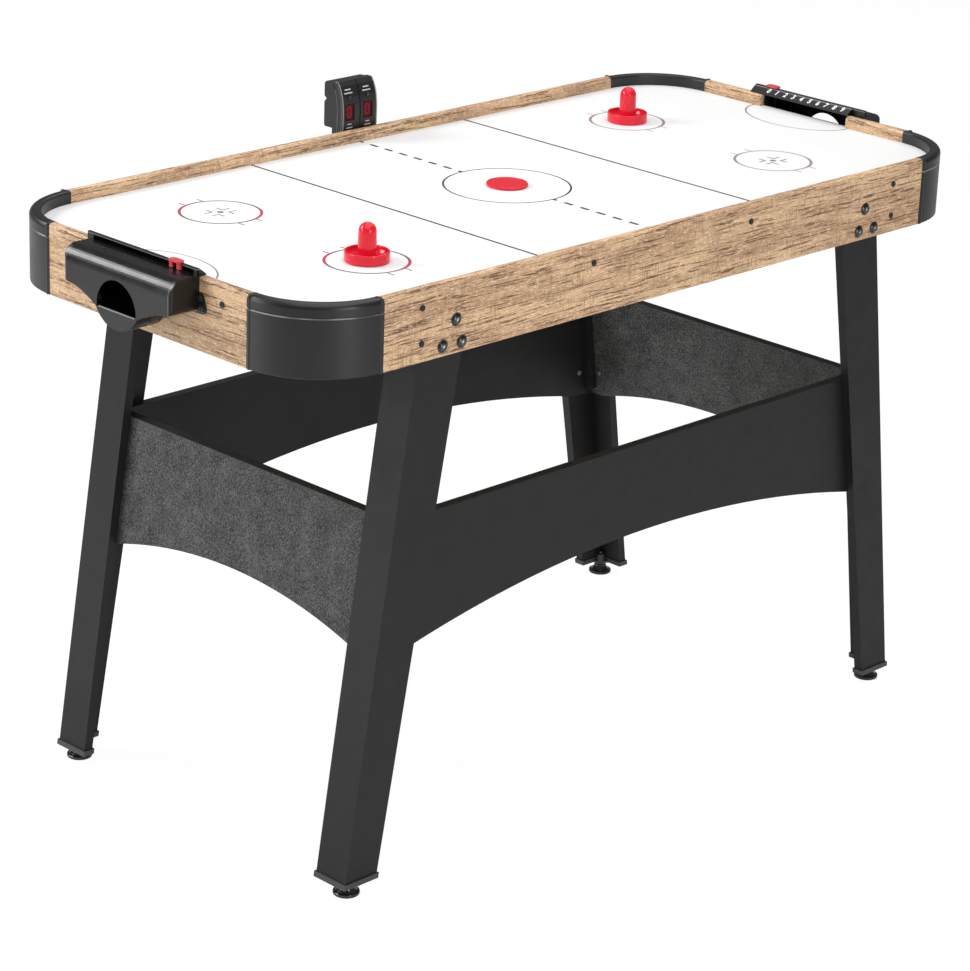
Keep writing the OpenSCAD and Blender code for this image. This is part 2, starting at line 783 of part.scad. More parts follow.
// Wood screw along +Y with a flat domed head outside y
module screw(y, length) {
    difference() {
        union() {
            rod_y(0, y - screw_head_h * 0.6, 0, screw_head_r, screw_head_h * 0.6);
            rod_y(0, y - screw_head_h, 0, screw_head_r * 0.7, screw_head_h);
            rod_y(0, y - 0.5, 0, screw_r, length);
        }
        translate([-screw_head_r * 0.55, y - screw_head_h - 1, -0.5])
            cube([screw_head_r * 1.1, 2, 1]);
        translate([-0.5, y - screw_head_h - 1, -screw_head_r * 0.55])
            cube([1, 2, screw_head_r * 1.1]);
    }
}

module apron_screws() {
    color("black") all_corners() {
        for (x = [tongue_screw_x, apron_screw_x]) {
            translate([-x, 0, screw_z]) screw(-half_w, apron_t + thread_in);
        }
        translate([-tongue_screw_x, 0, tongue_screw_z]) screw(-half_w, apron_t + 2 * cap_wall);
        translate([0, -end_screw_y, screw_z]) rotate([0, 0, -90]) screw(-half_l, apron_t + thread_in);
    }
}

// Screws through the panels' inner faces into the leg boards
module panel_screws() {
    color("silver") all_corners() {
        long_screw_places() mirror([0, 1, 0]) screw(0, panel_grip);
        end_screw_places() screw(0, panel_grip);
    }
}

module goal_screws() {
    color("black") both_ends() for (side = [0, 1]) mirror([0, side, 0]) ear_screw_places()
        rotate([0, 0, -90]) screw(-half_l - box_wall, apron_t + box_wall - 1);
}

// Places of the two screws in a goal box's ear, one above the other
module ear_screw_places() {
    translate([0, ear_y, ear_z]) children();
    translate([0, ear_high_y, ear_high_z]) children();
}

// ---- Goals ----

// Section of a goal box in X and Z, drawn in by a margin, and by another one at the apron
module box_section(margin, back) {
    r = box_round - margin;
    polygon(concat(
        [[-half_l - back, lip_z - pocket_h - 5], [-half_l - back, box_top - margin]],
        arc(-box_out + box_round, box_top - box_round, r, 90, 180, 12),
        [[-box_out + margin, lip_z - pocket_h - 5]]
    ));
}

// Outline of a goal box's front in Y and Z, drawn in by a margin: wings, lip and pocket
function box_side(margin) =
    let (
        y = box_half - margin,
        wing = wing_z + margin,
        lip_y = pocket_half - margin,
        r = arch_radius(pocket_half, pocket_h),
        pocket_y = asin(lip_y / r)
    )
    concat(
        [[y, box_top - margin]],
        arc(y - wing_round, wing + wing_round, wing_round, 0, -90, 6),
        [for (i = [1 : 8]) let (t = i / 9, wing_y = y - wing_round)
            [wing_y - t * (wing_y - lip_y), wing - (wing - lip_z - margin) * (1 - cos(90 * t))]],
        [for (i = [0 : 8]) let (a = pocket_y * (1 - i / 8))
            [r * sin(a), lip_z - pocket_h + margin + r * (1 - cos(a))]]
    );

module box_outline(margin) {
    side = box_side(margin);
    n = len(side);
    polygon(concat(side, [for (i = [1 : n - 1]) [-side[n - 1 - i][0], side[n - 1 - i][1]]]));
}

// Plan of a goal box, drawn in by a margin, with its two front corners rounded
module box_plan(margin) {
    r = box_edge - margin;
    y = box_half - box_edge;
    polygon(concat(
        [[-half_l + 1, y + r], [-half_l + 1, -y - r]],
        arc(-box_out + box_edge, -y, r, 270, 180),
        arc(-box_out + box_edge, y, r, 180, 90)
    ));
}

module box_solid(margin, back) {
    intersection() {
        upright(-box_half - 5, box_l + 10) box_section(margin, back);
        along_x(-box_out - 5, box_d + 10) box_outline(margin);
        translate([0, 0, lip_z - pocket_h - 5]) linear_extrude(box_top) box_plan(margin);
    }
}

// Hollow goal box on the left end apron: arched opening, puck pocket, two screw ears, and in its back
// the places for the score hood and its sleeve
module goal_box() {
    color("dimgray") difference() {
        union() {
            box_solid(0, 0);
            for (side = [0, 1]) mirror([0, side, 0]) along_x(-half_l - box_wall, box_wall) polygon(concat(
                [[box_half - box_wall, ear_z - ear_r]],
                arc(ear_y, ear_z, ear_r, -90, 20, 6),
                arc(ear_high_y, ear_high_z, ear_high_r, 20, 90, 4),
                [[box_half - box_wall, ear_high_z + ear_high_r]]
            ));
        }
        box_solid(box_wall, back_wall);
        intersection() {
            union() {
                rod_x(-box_out - 5, 0, arch_z, arch_r, box_wall + 10);
                translate([-box_out - 5, -arch_r, lip_z + 0.5]) cube([box_wall + 10, 2 * arch_r, 3]);
            }
            translate([-box_out - 6, -arch_r - 1, lip_z + 0.5]) cube([box_wall + 12, 2 * arch_r + 2, 60]);
        }
        translate([-half_l - hood_t - play_fit, goal_shift - hood_half - play_fit, hood_low - play_fit])
            cube([hood_t + 2, hood_l + 2 * play_fit, box_d]);
        translate([-half_l - hood_t - play_fit, goal_shift - mouth_half, lap_z - play_fit])
            cube([hood_t + 2, mouth_w, box_d]);
        for (side = [0, 1]) mirror([0, side, 0]) ear_screw_places()
            rod_x(-half_l - box_wall - 1, 0, 0, screw_r + hole_gap, 10);
    }
}

// Score hood over the left mouth: back plate with the marker slot, the sloped number strip, hollow
// from below, and the sleeve that lines the mouth
module score_hood() {
    strip_z = rail_h + play_fit;
    sleeve_half = mouth_half - play_fit;
    color("dimgray") difference() {
        translate([0, goal_shift, 0]) union() {
            for (side = [0, 1]) mirror([0, side, 0])
                translate([-half_l - hood_t, sleeve_half - sleeve_wall, hood_low])
                    cube([hood_t, hood_half - sleeve_half + sleeve_wall, hood_top - hood_low]);
            upright(-hood_half, hood_half + sleeve_half) polygon([
                [-half_l - hood_t, strip_z], [-half_l + strip_in, strip_z],
                [-half_l + strip_in, strip_z + strip_lip], [-half_l, hood_top], [-half_l - hood_t, hood_top]
            ]);
            translate([-half_l - hood_t, -sleeve_half, lap_z])
                cube([hood_t + sleeve_in, 2 * sleeve_half, sill_t]);
            for (y = [-sleeve_half, sleeve_half - sleeve_wall]) translate([-half_l - hood_t, y, lap_z])
                cube([hood_t + sleeve_in, sleeve_wall, strip_z + 1 - lap_z]);
        }
        upright(goal_shift - hood_half + sleeve_wall, hood_half + sleeve_half - 2 * sleeve_wall) polygon([
            [-half_l + strip_lip, strip_z - 1], [-half_l + strip_in - strip_lip, strip_z - 1],
            [-half_l + strip_in - strip_lip, strip_z + strip_lip / 2],
            [-half_l + strip_lip, hood_top - 2 * strip_lip]
        ]);
        translate([-half_l - hood_t - 1, -slot_half, slot_low])
            cube([slot_d + 1, 2 * slot_half, slot_high - slot_low]);
    }
}

// Rectangle with rounded corners about the origin
module rounded_plate(l, w, r) {
    square([l - 2 * r, w], center = true);
    square([l, w - 2 * r], center = true);
    for (x = [-1, 1], y = [-1, 1]) translate([x * (l / 2 - r), y * (w / 2 - r)]) circle(r);
}

// Saddle-shaped marker that rides on the left hood's top edge, two prongs in the slot
module score_marker(score) {
    out = half_l + hood_t + marker_gap;
    color("red") translate([0, score * number_pitch - marker_y, 0]) {
        translate([-half_l - hood_t + 0.5, 0, hood_top + marker_gap])
            linear_extrude(marker_t) rounded_plate(marker_w, marker_l, marker_round);
        for (y = [-prong_y, prong_y]) translate([-out, y - prong_w / 2, slot_low + marker_gap]) {
            translate([-prong_t, 0, 0]) cube([prong_t, prong_w, hood_top - slot_low + 0.5]);
            translate([-1, 0, 0])
                cube([slot_d + marker_gap, prong_w, slot_high - slot_low - 2 * marker_gap]);
        }
    }
}

// ---- Scorer ----

// Front outline of the scorer in Y and Z, from the foot up, set back by a distance
function scorer_face(back) = concat(
    [for (p = [[1.5, -34], [1.5, -4], [0.4, 0], [0, 26]]) [scorer_y + p[0] + back, rail_h + p[1]]],
    [for (p = [[0.6, 35], [2.3, 23.5], [5, 14.5], [8.7, 6.5], [13.2, 0]])
        [scorer_y + p[0] + back, scorer_top - p[1]]]
);

module scorer_profile(margin) {
    polygon(concat(
        [[scorer_split, scorer_low + margin]],
        [for (p = scorer_face(margin)) [p[0], max(min(p[1], scorer_top - margin), scorer_low + margin)]],
        [[scorer_split, scorer_top - margin]]
    ));
}

// Groove that follows the scorer's front outline, set back by a distance
module face_groove(back) {
    polygon(concat(scorer_face(back), [for (i = [8 : -1 : 0]) scorer_face(back + rib_cut)[i]]));
}

// Puts something at the two halves of the scorer
module scorer_halves() {
    for (side = [-1, 1]) translate([scorer_x - window_shift + side * window_pitch / 2, 0, 0]) children();
}

module scorer_front_shell() {
    low_x = scorer_x - scorer_w / 2;
    foot_y = scorer_y + 4;
    color("dimgray") difference() {
        union() {
            difference() {
                along_x(low_x, scorer_w) scorer_profile(0);
                intersection() {
                    along_x(low_x + scorer_wall, scorer_w - 2 * scorer_wall) translate([eps, 0])
                        scorer_profile(scorer_wall);
                    translate([low_x, scorer_y, back_low + scorer_wall]) cube([scorer_w, 40, scorer_rise]);
                }
                translate([low_x + scorer_wall, foot_y, scorer_low - 1]) cube([
                    scorer_w - 2 * scorer_wall, scorer_split - foot_y - scorer_wall, back_low - scorer_low
                ]);
            }
            scorer_halves() translate([-window_w / 2 - 2, scorer_y + 1, window_z - window_h / 2 - 2])
                cube([window_w + 4, 8, window_h + 4]);
        }
        scorer_halves() translate([-window_w / 2, scorer_y - 2, window_z - window_h / 2])
            cube([window_w, 14, window_h]);
        scorer_halves() rod_y(0, scorer_y - 2, button_z, button_r + button_gap, 12);
        along_x(scorer_x - 1.5, 3) polygon(concat(
            scorer_face(1.2), [for (i = [8 : -1 : 0]) scorer_face(-2)[i]]
        ));
        for (side = [-1, 1], y = [rib_in, rib_in + rib_step])
            along_x(scorer_x + side * scorer_w / 2 - rib_cut / 2, rib_cut) face_groove(y);
    }
}

module scorer_back_shell() {
    low_x = scorer_x - scorer_w / 2 + 1;
    w = scorer_w - 2;
    groove_mid = (back_low + scorer_top) / 2 + 7;
    color("dimgray") difference() {
        along_x(low_x, w) polygon(concat(
            [[scorer_split, back_low], [scorer_back - 2, back_low], [scorer_back, back_low + 3]],
            [[scorer_back, groove_mid - 5], [scorer_back - 5, groove_mid], [scorer_back, groove_mid + 4]],
            arc(scorer_back - 6, scorer_top - 8, 6, 0, 90, 4),
            [[scorer_split, scorer_top - 1.5]]
        ));
        translate([low_x + scorer_wall, scorer_split - 1, back_low + scorer_wall])
            cube([w - 2 * scorer_wall, scorer_back - scorer_split - 7, scorer_top - back_low - 10]);
    }
}

module scorer_lenses() {
    color("darkred") scorer_halves()
        translate([-window_w / 2, lens_y, window_z - window_h / 2]) cube([window_w, lens_t, window_h]);
}

// Circuit board with a display block behind each window
module scorer_board() {
    color("green") {
        translate([scorer_x - scorer_w / 2 + scorer_wall, board_y, rail_h + 2])
            cube([scorer_w - 2 * scorer_wall, 1.6, scorer_rise - 16]);
        scorer_halves() translate([-3, button_end + button_travel + button_gap, button_z - 3])
            cube([6, board_y - button_end - button_travel - button_gap, 6]);
        scorer_halves() translate([-window_w / 2 + 1, lens_y + lens_t + 0.5, window_z - window_h / 2 + 1])
            cube([window_w - 2, board_y - lens_y - lens_t - 0.5, window_h - 2]);
    }
}

// Steel plate that holds the scorer on the back apron
module scorer_bracket() {
    color("silver") translate([scorer_x - 24, half_w, scorer_low + 2])
        cube([48, bracket_t + 1.5, 24]);
}

module scorer_button(side) {
    color("black") translate([scorer_x - window_shift + side * window_pitch / 2, 0, 0]) {
        rod_y(0, button_face, button_z, button_r, button_end - button_face);
        rod_y(0, collar_y, button_z, button_r + collar_t, collar_t);
    }
}

// ---- Puck and pushers ----

module puck() {
    color("red") translate([0, 0, play_z + air_gap]) rotate_extrude() polygon([
        [0, 0.5], [puck_r - 5, 0.5], [puck_r - 4.5, 0], [puck_r - 1, 0], [puck_r, 1],
        [puck_r, puck_t - 1], [puck_r - 1, puck_t], [puck_r - 4, puck_t], [puck_r - 5, puck_t - 0.6],
        [0, puck_t - 0.6]
    ]);
}

// Pusher: a dished ring with a domed handle, one revolved moulding
module pusher(side) {
    dome_r = handle_r - 0.9;
    color("red") translate([side * pusher_x, side * pusher_y, play_z + air_gap])
        rotate_extrude() polygon(concat(
            [[0, 1], [pusher_r - 5, 1], [pusher_r - 4, 0]],
            arc(pusher_r - 2, 2, 2, -90, 0, 4),
            arc(pusher_r - 1.5, pusher_ring - 1.5, 1.5, 0, 180, 6),
            [[pusher_r - 3.5, pusher_ring - 5], [pusher_r - 5.5, pusher_ring - 8.5]],
            arc(handle_r + 5.5, pusher_ring - 3.5, 5.5, 270, 180, 6),
            arc(0, pusher_h - dome_r, dome_r, 0, 90, 12)
        ));
}

long_apron();  // long_apron_front
rotate([0, 0, 180]) long_apron();  // long_apron_back
end_apron();  // end_apron_left
rotate([0, 0, 180]) end_apron();  // end_apron_right
corner(false, false) corner_cap();  // corner_cap_front_left
corner(true, false) corner_cap();  // corner_cap_front_right
corner(false, true) corner_cap();  // corner_cap_back_left
corner(true, true) corner_cap();  // corner_cap_back_right
playfield();
support_strips();
air_chamber_walls();
air_chamber_floor();
blower_housing();
blower_grille();
blower_motor();
blower_impeller();
power_inlet();
power_switch();
corner(false, false) leg_side();  // leg_side_front_left
corner(true, false) leg_side();  // leg_side_front_right
corner(false, true) leg_side();  // leg_side_back_left
corner(true, true) leg_side();  // leg_side_back_right
corner(false, false) leg_end();  // leg_end_front_left
corner(true, false) leg_end();  // leg_end_front_right
corner(false, true) leg_end();  // leg_end_back_left
corner(true, true) leg_end();  // leg_end_back_right
long_panel();  // long_panel_front
corner(false, true) long_panel();  // long_panel_back
end_panel();  // end_panel_left
corner(true, false) end_panel();  // end_panel_right
all_corners() leg_bracket();  // leg_brackets
corner(false, false) foot_shoe();  // foot_shoe_front_left
corner(true, false) foot_shoe();  // foot_shoe_front_right
corner(false, true) foot_shoe();  // foot_shoe_back_left
corner(true, true) foot_shoe();  // foot_shoe_back_right
corner(false, false) leveller();  // leveller_front_left
corner(true, false) leveller();  // leveller_front_right
corner(false, true) leveller();  // leveller_back_left
corner(true, true) leveller();  // leveller_back_right
leg_bolts();
apron_screws();
panel_screws();
goal_box();  // goal_box_left
rotate([0, 0, 180]) goal_box();  // goal_box_right
score_hood();  // score_hood_left
rotate([0, 0, 180]) score_hood();  // score_hood_right
score_marker(left_score);  // score_marker_left
rotate([0, 0, 180]) score_marker(0);  // score_marker_right
goal_screws();
scorer_front_shell();
scorer_back_shell();
scorer_lenses();
scorer_board();
scorer_bracket();
scorer_button(-1);  // scorer_button_left
scorer_button(1);  // scorer_button_right
puck();
pusher(-1);  // pusher_left
pusher(1);  // pusher_right
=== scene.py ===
import math
import bpy
import numpy as np
from mathutils import Matrix


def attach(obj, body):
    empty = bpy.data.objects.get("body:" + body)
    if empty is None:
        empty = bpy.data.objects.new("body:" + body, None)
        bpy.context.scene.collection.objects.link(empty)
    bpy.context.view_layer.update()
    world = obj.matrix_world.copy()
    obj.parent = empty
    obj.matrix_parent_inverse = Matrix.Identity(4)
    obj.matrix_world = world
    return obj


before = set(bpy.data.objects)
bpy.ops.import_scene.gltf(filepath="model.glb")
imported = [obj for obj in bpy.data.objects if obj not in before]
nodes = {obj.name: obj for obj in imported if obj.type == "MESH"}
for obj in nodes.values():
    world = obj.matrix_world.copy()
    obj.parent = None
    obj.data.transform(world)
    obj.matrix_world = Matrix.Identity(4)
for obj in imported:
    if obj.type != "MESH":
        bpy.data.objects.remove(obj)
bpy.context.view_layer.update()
print("frame loaded:", len(nodes), "nodes")


# ---------- node tree helpers ----------

def fill(tree, node, inputs):
    # a socket is linked, a plain value is set
    for key, value in inputs.items():
        if isinstance(value, bpy.types.NodeSocket):
            tree.links.new(value, node.inputs[key])
        else:
            node.inputs[key].default_value = value


def addNode(tree, kind, inputs=None, **settings):
    node = tree.nodes.new("ShaderNode" + kind)
    for key, value in settings.items():
        setattr(node, key, value)
    fill(tree, node, inputs or {})
    return node


def calc(tree, operation, *values, clamp=False):
    # one Math node: sockets or numbers in, its output socket out
    node = addNode(tree, "Math", dict(enumerate(values)), operation=operation, use_clamp=clamp)
    return node.outputs[0]


def plus(tree, a, b):
    return calc(tree, "ADD", a, b)


def minus(tree, a, b):
    return calc(tree, "SUBTRACT", a, b)


def times(tree, a, b):
    return calc(tree, "MULTIPLY", a, b)


def absolute(tree, value):
    return calc(tree, "ABSOLUTE", value)


def above(tree, value, level):
    return calc(tree, "GREATER_THAN", value, level)


def below(tree, value, level):
    return calc(tree, "LESS_THAN", value, level)


def strongest(tree, masks):
    total = masks[0]
    for mask in masks[1:]:
        total = calc(tree, "MAXIMUM", total, mask)
    return total


def split(tree, vector):
    return addNode(tree, "SeparateXYZ", {0: vector}).outputs


def join(tree, x, y, z):
    return addNode(tree, "CombineXYZ", {0: x, 1: y, 2: z}).outputs[0]


def scaleColour(tree, colour, amount):
    return addNode(tree, "VectorMath", {0: colour, "Scale": amount}, operation="SCALE").outputs[0]


def blendColour(tree, amount, low, high):
    low, high = (c if isinstance(c, bpy.types.NodeSocket) else (*c, 1) for c in (low, high))
    return addNode(tree, "Mix", {0: amount, 6: low, 7: high}, data_type="RGBA").outputs[2]


def blendValue(tree, amount, low, high):
    return addNode(tree, "MapRange", {0: amount, 1: 0.0, 2: 1.0, 3: low, 4: high}).outputs[0]


def remap(tree, value, low, high, toLow=0.0, toHigh=1.0):
    # smooth step from low to high
    inputs = {0: value, 1: low, 2: high, 3: toLow, 4: toHigh}
    return addNode(tree, "MapRange", inputs, interpolation_type="SMOOTHSTEP").outputs[0]


def noise(tree, vector, size, detail=2.0, roughness=0.5):
    # size is the width of one blotch, in the vector's units
    scale = 1 / size if isinstance(size, float) else calc(tree, "DIVIDE", 1.0, size)
    inputs = {"Vector": vector, "Scale": scale, "Detail": detail, "Roughness": roughness}
    return addNode(tree, "TexNoise", inputs).outputs[0]


def newGroup(name, inputs, outputs):
    tree = bpy.data.node_groups.new(name, "ShaderNodeTree")
    for label, kind, value in inputs:
        socket = tree.interface.new_socket(label, in_out="INPUT", socket_type="NodeSocket" + kind)
        if value is not None:
            socket.default_value = value
    for label, kind in outputs:
        tree.interface.new_socket(label, in_out="OUTPUT", socket_type="NodeSocket" + kind)
    return tree, tree.nodes.new("NodeGroupInput").outputs, tree.nodes.new("NodeGroupOutput").inputs


def useGroup(tree, group, inputs):
    node = tree.nodes.new("ShaderNodeGroup")
    node.node_tree = group
    fill(tree, node, inputs)
    return node.outputs


def newMaterial(name, **sockets):
    # an empty Principled material and its object coordinates in mm; constants go straight on the shader
    material = bpy.data.materials.new(name)
    material.use_nodes = True
    tree = material.node_tree
    shader = tree.nodes["Principled BSDF"]
    for key, value in sockets.items():
        shader.inputs[key.replace("_", " ")].default_value = value
    place = tree.nodes.new("ShaderNodeTexCoord").outputs["Object"]
    mm = addNode(tree, "VectorMath", {0: place, 1: (1000, 1000, 1000)}, operation="MULTIPLY").outputs[0]
    return material, tree, shader, mm


def plug(tree, shader, **sockets):
    for key, value in sockets.items():
        tree.links.new(value, shader.inputs[key.replace("_", " ")])


def addBump(tree, shader, height, strength, distance):
    bump = addNode(tree, "Bump", {"Height": height, "Strength": strength, "Distance": distance})
    plug(tree, shader, Normal=bump.outputs[0])


# ---------- shared node groups ----------

maskSharpness = {"ring": 3.0, "bar": 4.0}


def makeRingGroup():
    # soft-edged ring: 1 where the distance from the centre is near the radius
    group, ins, outs = newGroup("ringMask", [
        ("U", "Float", 0), ("V", "Float", 0), ("Radius", "Float", 50.0), ("Half Width", "Float", 1.0),
    ], [("Mask", "Float")])
    squares = plus(group, times(group, ins["U"], ins["U"]), times(group, ins["V"], ins["V"]))
    off = absolute(group, minus(group, calc(group, "SQRT", squares), ins["Radius"]))
    inside = minus(group, ins["Half Width"], off)
    mask = calc(group, "MULTIPLY_ADD", inside, maskSharpness["ring"], 0.5, clamp=True)
    group.links.new(mask, outs["Mask"])
    return group


def makeBarGroup():
    # soft-edged bar: 1 where |u| < half the length and |v| < half the width
    group, ins, outs = newGroup("barMask", [
        ("U", "Float", 0), ("V", "Float", 0), ("Half Length", "Float", 10.0), ("Half Width", "Float", 1.0),
    ], [("Mask", "Float")])
    sides = []
    for axis, half in (("U", "Half Length"), ("V", "Half Width")):
        inside = minus(group, ins[half], absolute(group, ins[axis]))
        sides.append(calc(group, "MULTIPLY_ADD", inside, maskSharpness["bar"], 0.5, clamp=True))
    group.links.new(times(group, *sides), outs["Mask"])
    return group


skinMix = {"fine": (3.0, 0.7), "cloud": (3.0, 0.55), "fineShare": 0.8, "cloudShare": 0.2,
           "leastGain": 0.12, "roughnessShift": 0.25, "bumpDepth": 0.0004}


def makeSkinGroup():
    # fine moulded or laminated skin: a colour that varies a little, and a height for the bump
    mix = skinMix
    group, ins, outs = newGroup("finelyTextured", [
        ("Vector", "Vector", None), ("Colour", "Color", (0.03, 0.03, 0.03, 1)), ("Grain Size", "Float", 0.6),
        ("Cloud Size", "Float", 60.0), ("Contrast", "Float", 0.2),
    ], [("Colour", "Color"), ("Roughness Shift", "Float"), ("Height", "Float")])
    fine = noise(group, ins["Vector"], ins["Grain Size"], *mix["fine"])
    cloud = noise(group, ins["Vector"], ins["Cloud Size"], *mix["cloud"])
    mixed = plus(group, times(group, fine, mix["fineShare"]), times(group, cloud, mix["cloudShare"]))
    swing = minus(group, times(group, mixed, 4.0), 2.0)  # about -1 to 1
    gain = plus(group, 1.0, times(group, ins["Contrast"], swing))
    gain = calc(group, "MAXIMUM", gain, mix["leastGain"])
    group.links.new(scaleColour(group, ins["Colour"], gain), outs["Colour"])
    group.links.new(times(group, minus(group, cloud, 0.5), mix["roughnessShift"]), outs["Roughness Shift"])
    group.links.new(fine, outs["Height"])
    return group


# layers: length and width of the marks in mm, noise detail and roughness
# fades: the noise levels a layer fades between, then how strong it gets
oakLook = {
    "layers": {"wander": (240.0, 40.0, 2.0, 0.50), "streaks": (78.0, 2.9, 3.0, 0.60),
               "fibres": (9.0, 1.5, 3.0, 0.70), "mottle": (2.4, 1.9, 2.0, 0.60),
               "patches": (150.0, 20.0, 3.0, 0.50), "sawMarks": (1.5, 19.0, 2.0, 0.60),
               "sawnAreas": (42.0, 38.0, 2.0, 0.50)},
    "fades": {"patches": (0.36, 0.62), "fibres": (0.48, 0.66, 0.0, 0.80), "mottle": (0.48, 0.34, 0.0, 0.55),
              "breaks": (0.64, 0.46, 0.30, 0.92), "streaks": (0.475, 0.405),
              "sawMarks": (0.53, 0.63, 0.0, 0.68), "sawnAreas": (0.46, 0.57), "roughness": (0.3, 0.7, 0.60, 0.44)},
    "light": (0.71, 0.475, 0.275), "dark": (0.47, 0.285, 0.165), "fibre": (0.93, 0.69, 0.46),
    "mottle": (0.30, 0.165, 0.085), "streak": (0.125, 0.058, 0.027), "sawMark": (0.29, 0.160, 0.085),
    "wander": 14.0, "fibreHeight": 0.7, "sawMarkDepth": 0.5,
    "shader": {"Specular_IOR_Level": 0.35}, "bump": 0.30, "bumpDepth": 0.0006,
    "rawBelow": 768.25, "raw": (0.42, 0.30, 0.20), "rawShare": 0.8,
}


def makeOakGroup():
    # rough-sawn oak laminate: u runs along the grain, v and w across it, all in mm
    look, fades = oakLook, oakLook["fades"]
    group, ins, outs = newGroup("sawnOak", [
        ("U", "Float", 0), ("V", "Float", 0), ("W", "Float", 0), ("Lightness", "Float", 1.0),
    ], [("Colour", "Color"), ("Height", "Float"), ("Roughness", "Float")])

    def grain(layer, bend=None):
        length, width, detail, roughness = look["layers"][layer]
        v = ins["V"] if bend is None else plus(group, ins["V"], bend)
        vector = join(group, *(calc(group, "DIVIDE", value, size)
                               for value, size in ((ins["U"], length), (v, width), (ins["W"], width))))
        return noise(group, vector, 1.0, detail, roughness)

    bend = times(group, minus(group, grain("wander"), 0.5), look["wander"])
    streaks, fibres, patches = (grain(layer, bend) for layer in ("streaks", "fibres", "patches"))
    mottle, sawMarks = grain("mottle"), grain("sawMarks")
    sawn = remap(group, grain("sawnAreas"), *fades["sawnAreas"])
    colour = blendColour(group, remap(group, patches, *fades["patches"]), look["light"], look["dark"])
    colour = blendColour(group, remap(group, fibres, *fades["fibres"]), colour, look["fibre"])
    colour = blendColour(group, remap(group, mottle, *fades["mottle"]), colour, look["mottle"])
    lines = times(group, remap(group, streaks, *fades["streaks"]), remap(group, fibres, *fades["breaks"]))
    colour = blendColour(group, lines, colour, look["streak"])
    across = times(group, sawn, remap(group, sawMarks, *fades["sawMarks"]))
    colour = blendColour(group, across, colour, look["sawMark"])
    group.links.new(scaleColour(group, colour, ins["Lightness"]), outs["Colour"])
    raised = plus(group, streaks, times(group, fibres, look["fibreHeight"]))
    group.links.new(minus(group, raised, times(group, across, look["sawMarkDepth"])), outs["Height"])
    group.links.new(remap(group, fibres, *fades["roughness"]), outs["Roughness"])
    return group


ringGroup, barGroup, skinGroup, oakGroup = makeRingGroup(), makeBarGroup(), makeSkinGroup(), makeOakGroup()
print("node groups ready")


def ringMask(tree, u, v, radius, halfWidth):
    return useGroup(tree, ringGroup, {"U": u, "V": v, "Radius": radius, "Half Width": halfWidth})[0]


def barMask(tree, u, v, halfLength, halfWidth):
    return useGroup(tree, barGroup, {"U": u, "V": v, "Half Length": halfLength, "Half Width": halfWidth})[0]


def lineMask(tree, v, middle, halfWidth):
    # an endless bar
    return useGroup(tree, barGroup, {"V": minus(tree, v, middle), "Half Width": halfWidth})[0]


# ---------- materials ----------

def makeOak(name, along, lightness, shift):
    look = oakLook
    material, tree, shader, mm = newMaterial(name, **look["shader"])
    x, y, z = split(tree, mm)
    u, w = (x, y) if along == "X" else (y, x)
    grain = useGroup(tree, oakGroup, {"U": plus(tree, u, shift), "V": z, "W": w, "Lightness": lightness})
    # raw board shows under the laminate at the lower edge
    raw = times(tree, below(tree, z, look["rawBelow"]), look["rawShare"])
    plug(tree, shader, Base_Color=blendColour(tree, raw, grain["Colour"], look["raw"]), Roughness=grain["Roughness"])
    addBump(tree, shader, grain["Height"], look["bump"], look["bumpDepth"])
    return material


def makeSkin(name, look):
    # grain and clouds are sizes in mm
    material, tree, shader, mm = newMaterial(name, **look["shader"])
    skin = useGroup(tree, skinGroup, {"Vector": mm, "Colour": (*look["colour"], 1), "Grain Size": look["grain"],
                                      "Cloud Size": look["clouds"], "Contrast": look["contrast"]})
    roughness = calc(tree, "ADD", skin["Roughness Shift"], look["roughness"], clamp=True)
    plug(tree, shader, Base_Color=skin["Colour"], Roughness=roughness)
    addBump(tree, shader, skin["Height"], look["bump"], skinMix["bumpDepth"])
    return material, tree, shader, mm, skin["Colour"]  # the colour's socket, for marks on top of it


# marks in mm: (radius, half width), (place, half width), (half length, half width) or half sizes
fieldLook = {
    "white": (0.795, 0.795, 0.795), "cloudShade": 0.985, "cloudSize": 180.0, "line": (0.030, 0.030, 0.032),
    "red": (0.50, 0.030, 0.090), "farRed": (0.30, 0.17, 0.18), "shader": {"Specular_IOR_Level": 0.22},
    "top": 851.9, "roughness": 0.50, "bareRoughness": 0.75,
    "bareDark": (0.30, 0.20, 0.125), "bareLight": (0.46, 0.33, 0.215),
    "circle": (94.2, 1.5), "zoneLine": (222.0, 2.3), "lineEnd": 400.0,
    "dash": (8.75, 3.0), "dashStep": 32.0, "dashStart": 84.5,
    "spot": (423.5, 151.5), "spotCircle": (58.3, 2.1), "dot": (0.0, 5.2),
    "ticks": (16.6, 63.5), "tick": (1.5, 7.6),
    "corners": (9.4, 7.2), "cornerShift": (6.6, 6.0), "cornerAlong": (7.4, 1.7), "cornerAcross": (1.7, 6.8),
    "arcHalfWidth": 2.3, "arcTurn": 127.5, "arcHalfAngle": 27.0,
    "crease": (72.5, 98.0), "creaseMiddle": 670.0, "creaseRing": (80.0, 1.4),
    "nearInk": 0.85, "farInk": 0.62, "cornerInk": 0.75, "dotInk": 0.8, "creaseInk": 0.72,
}


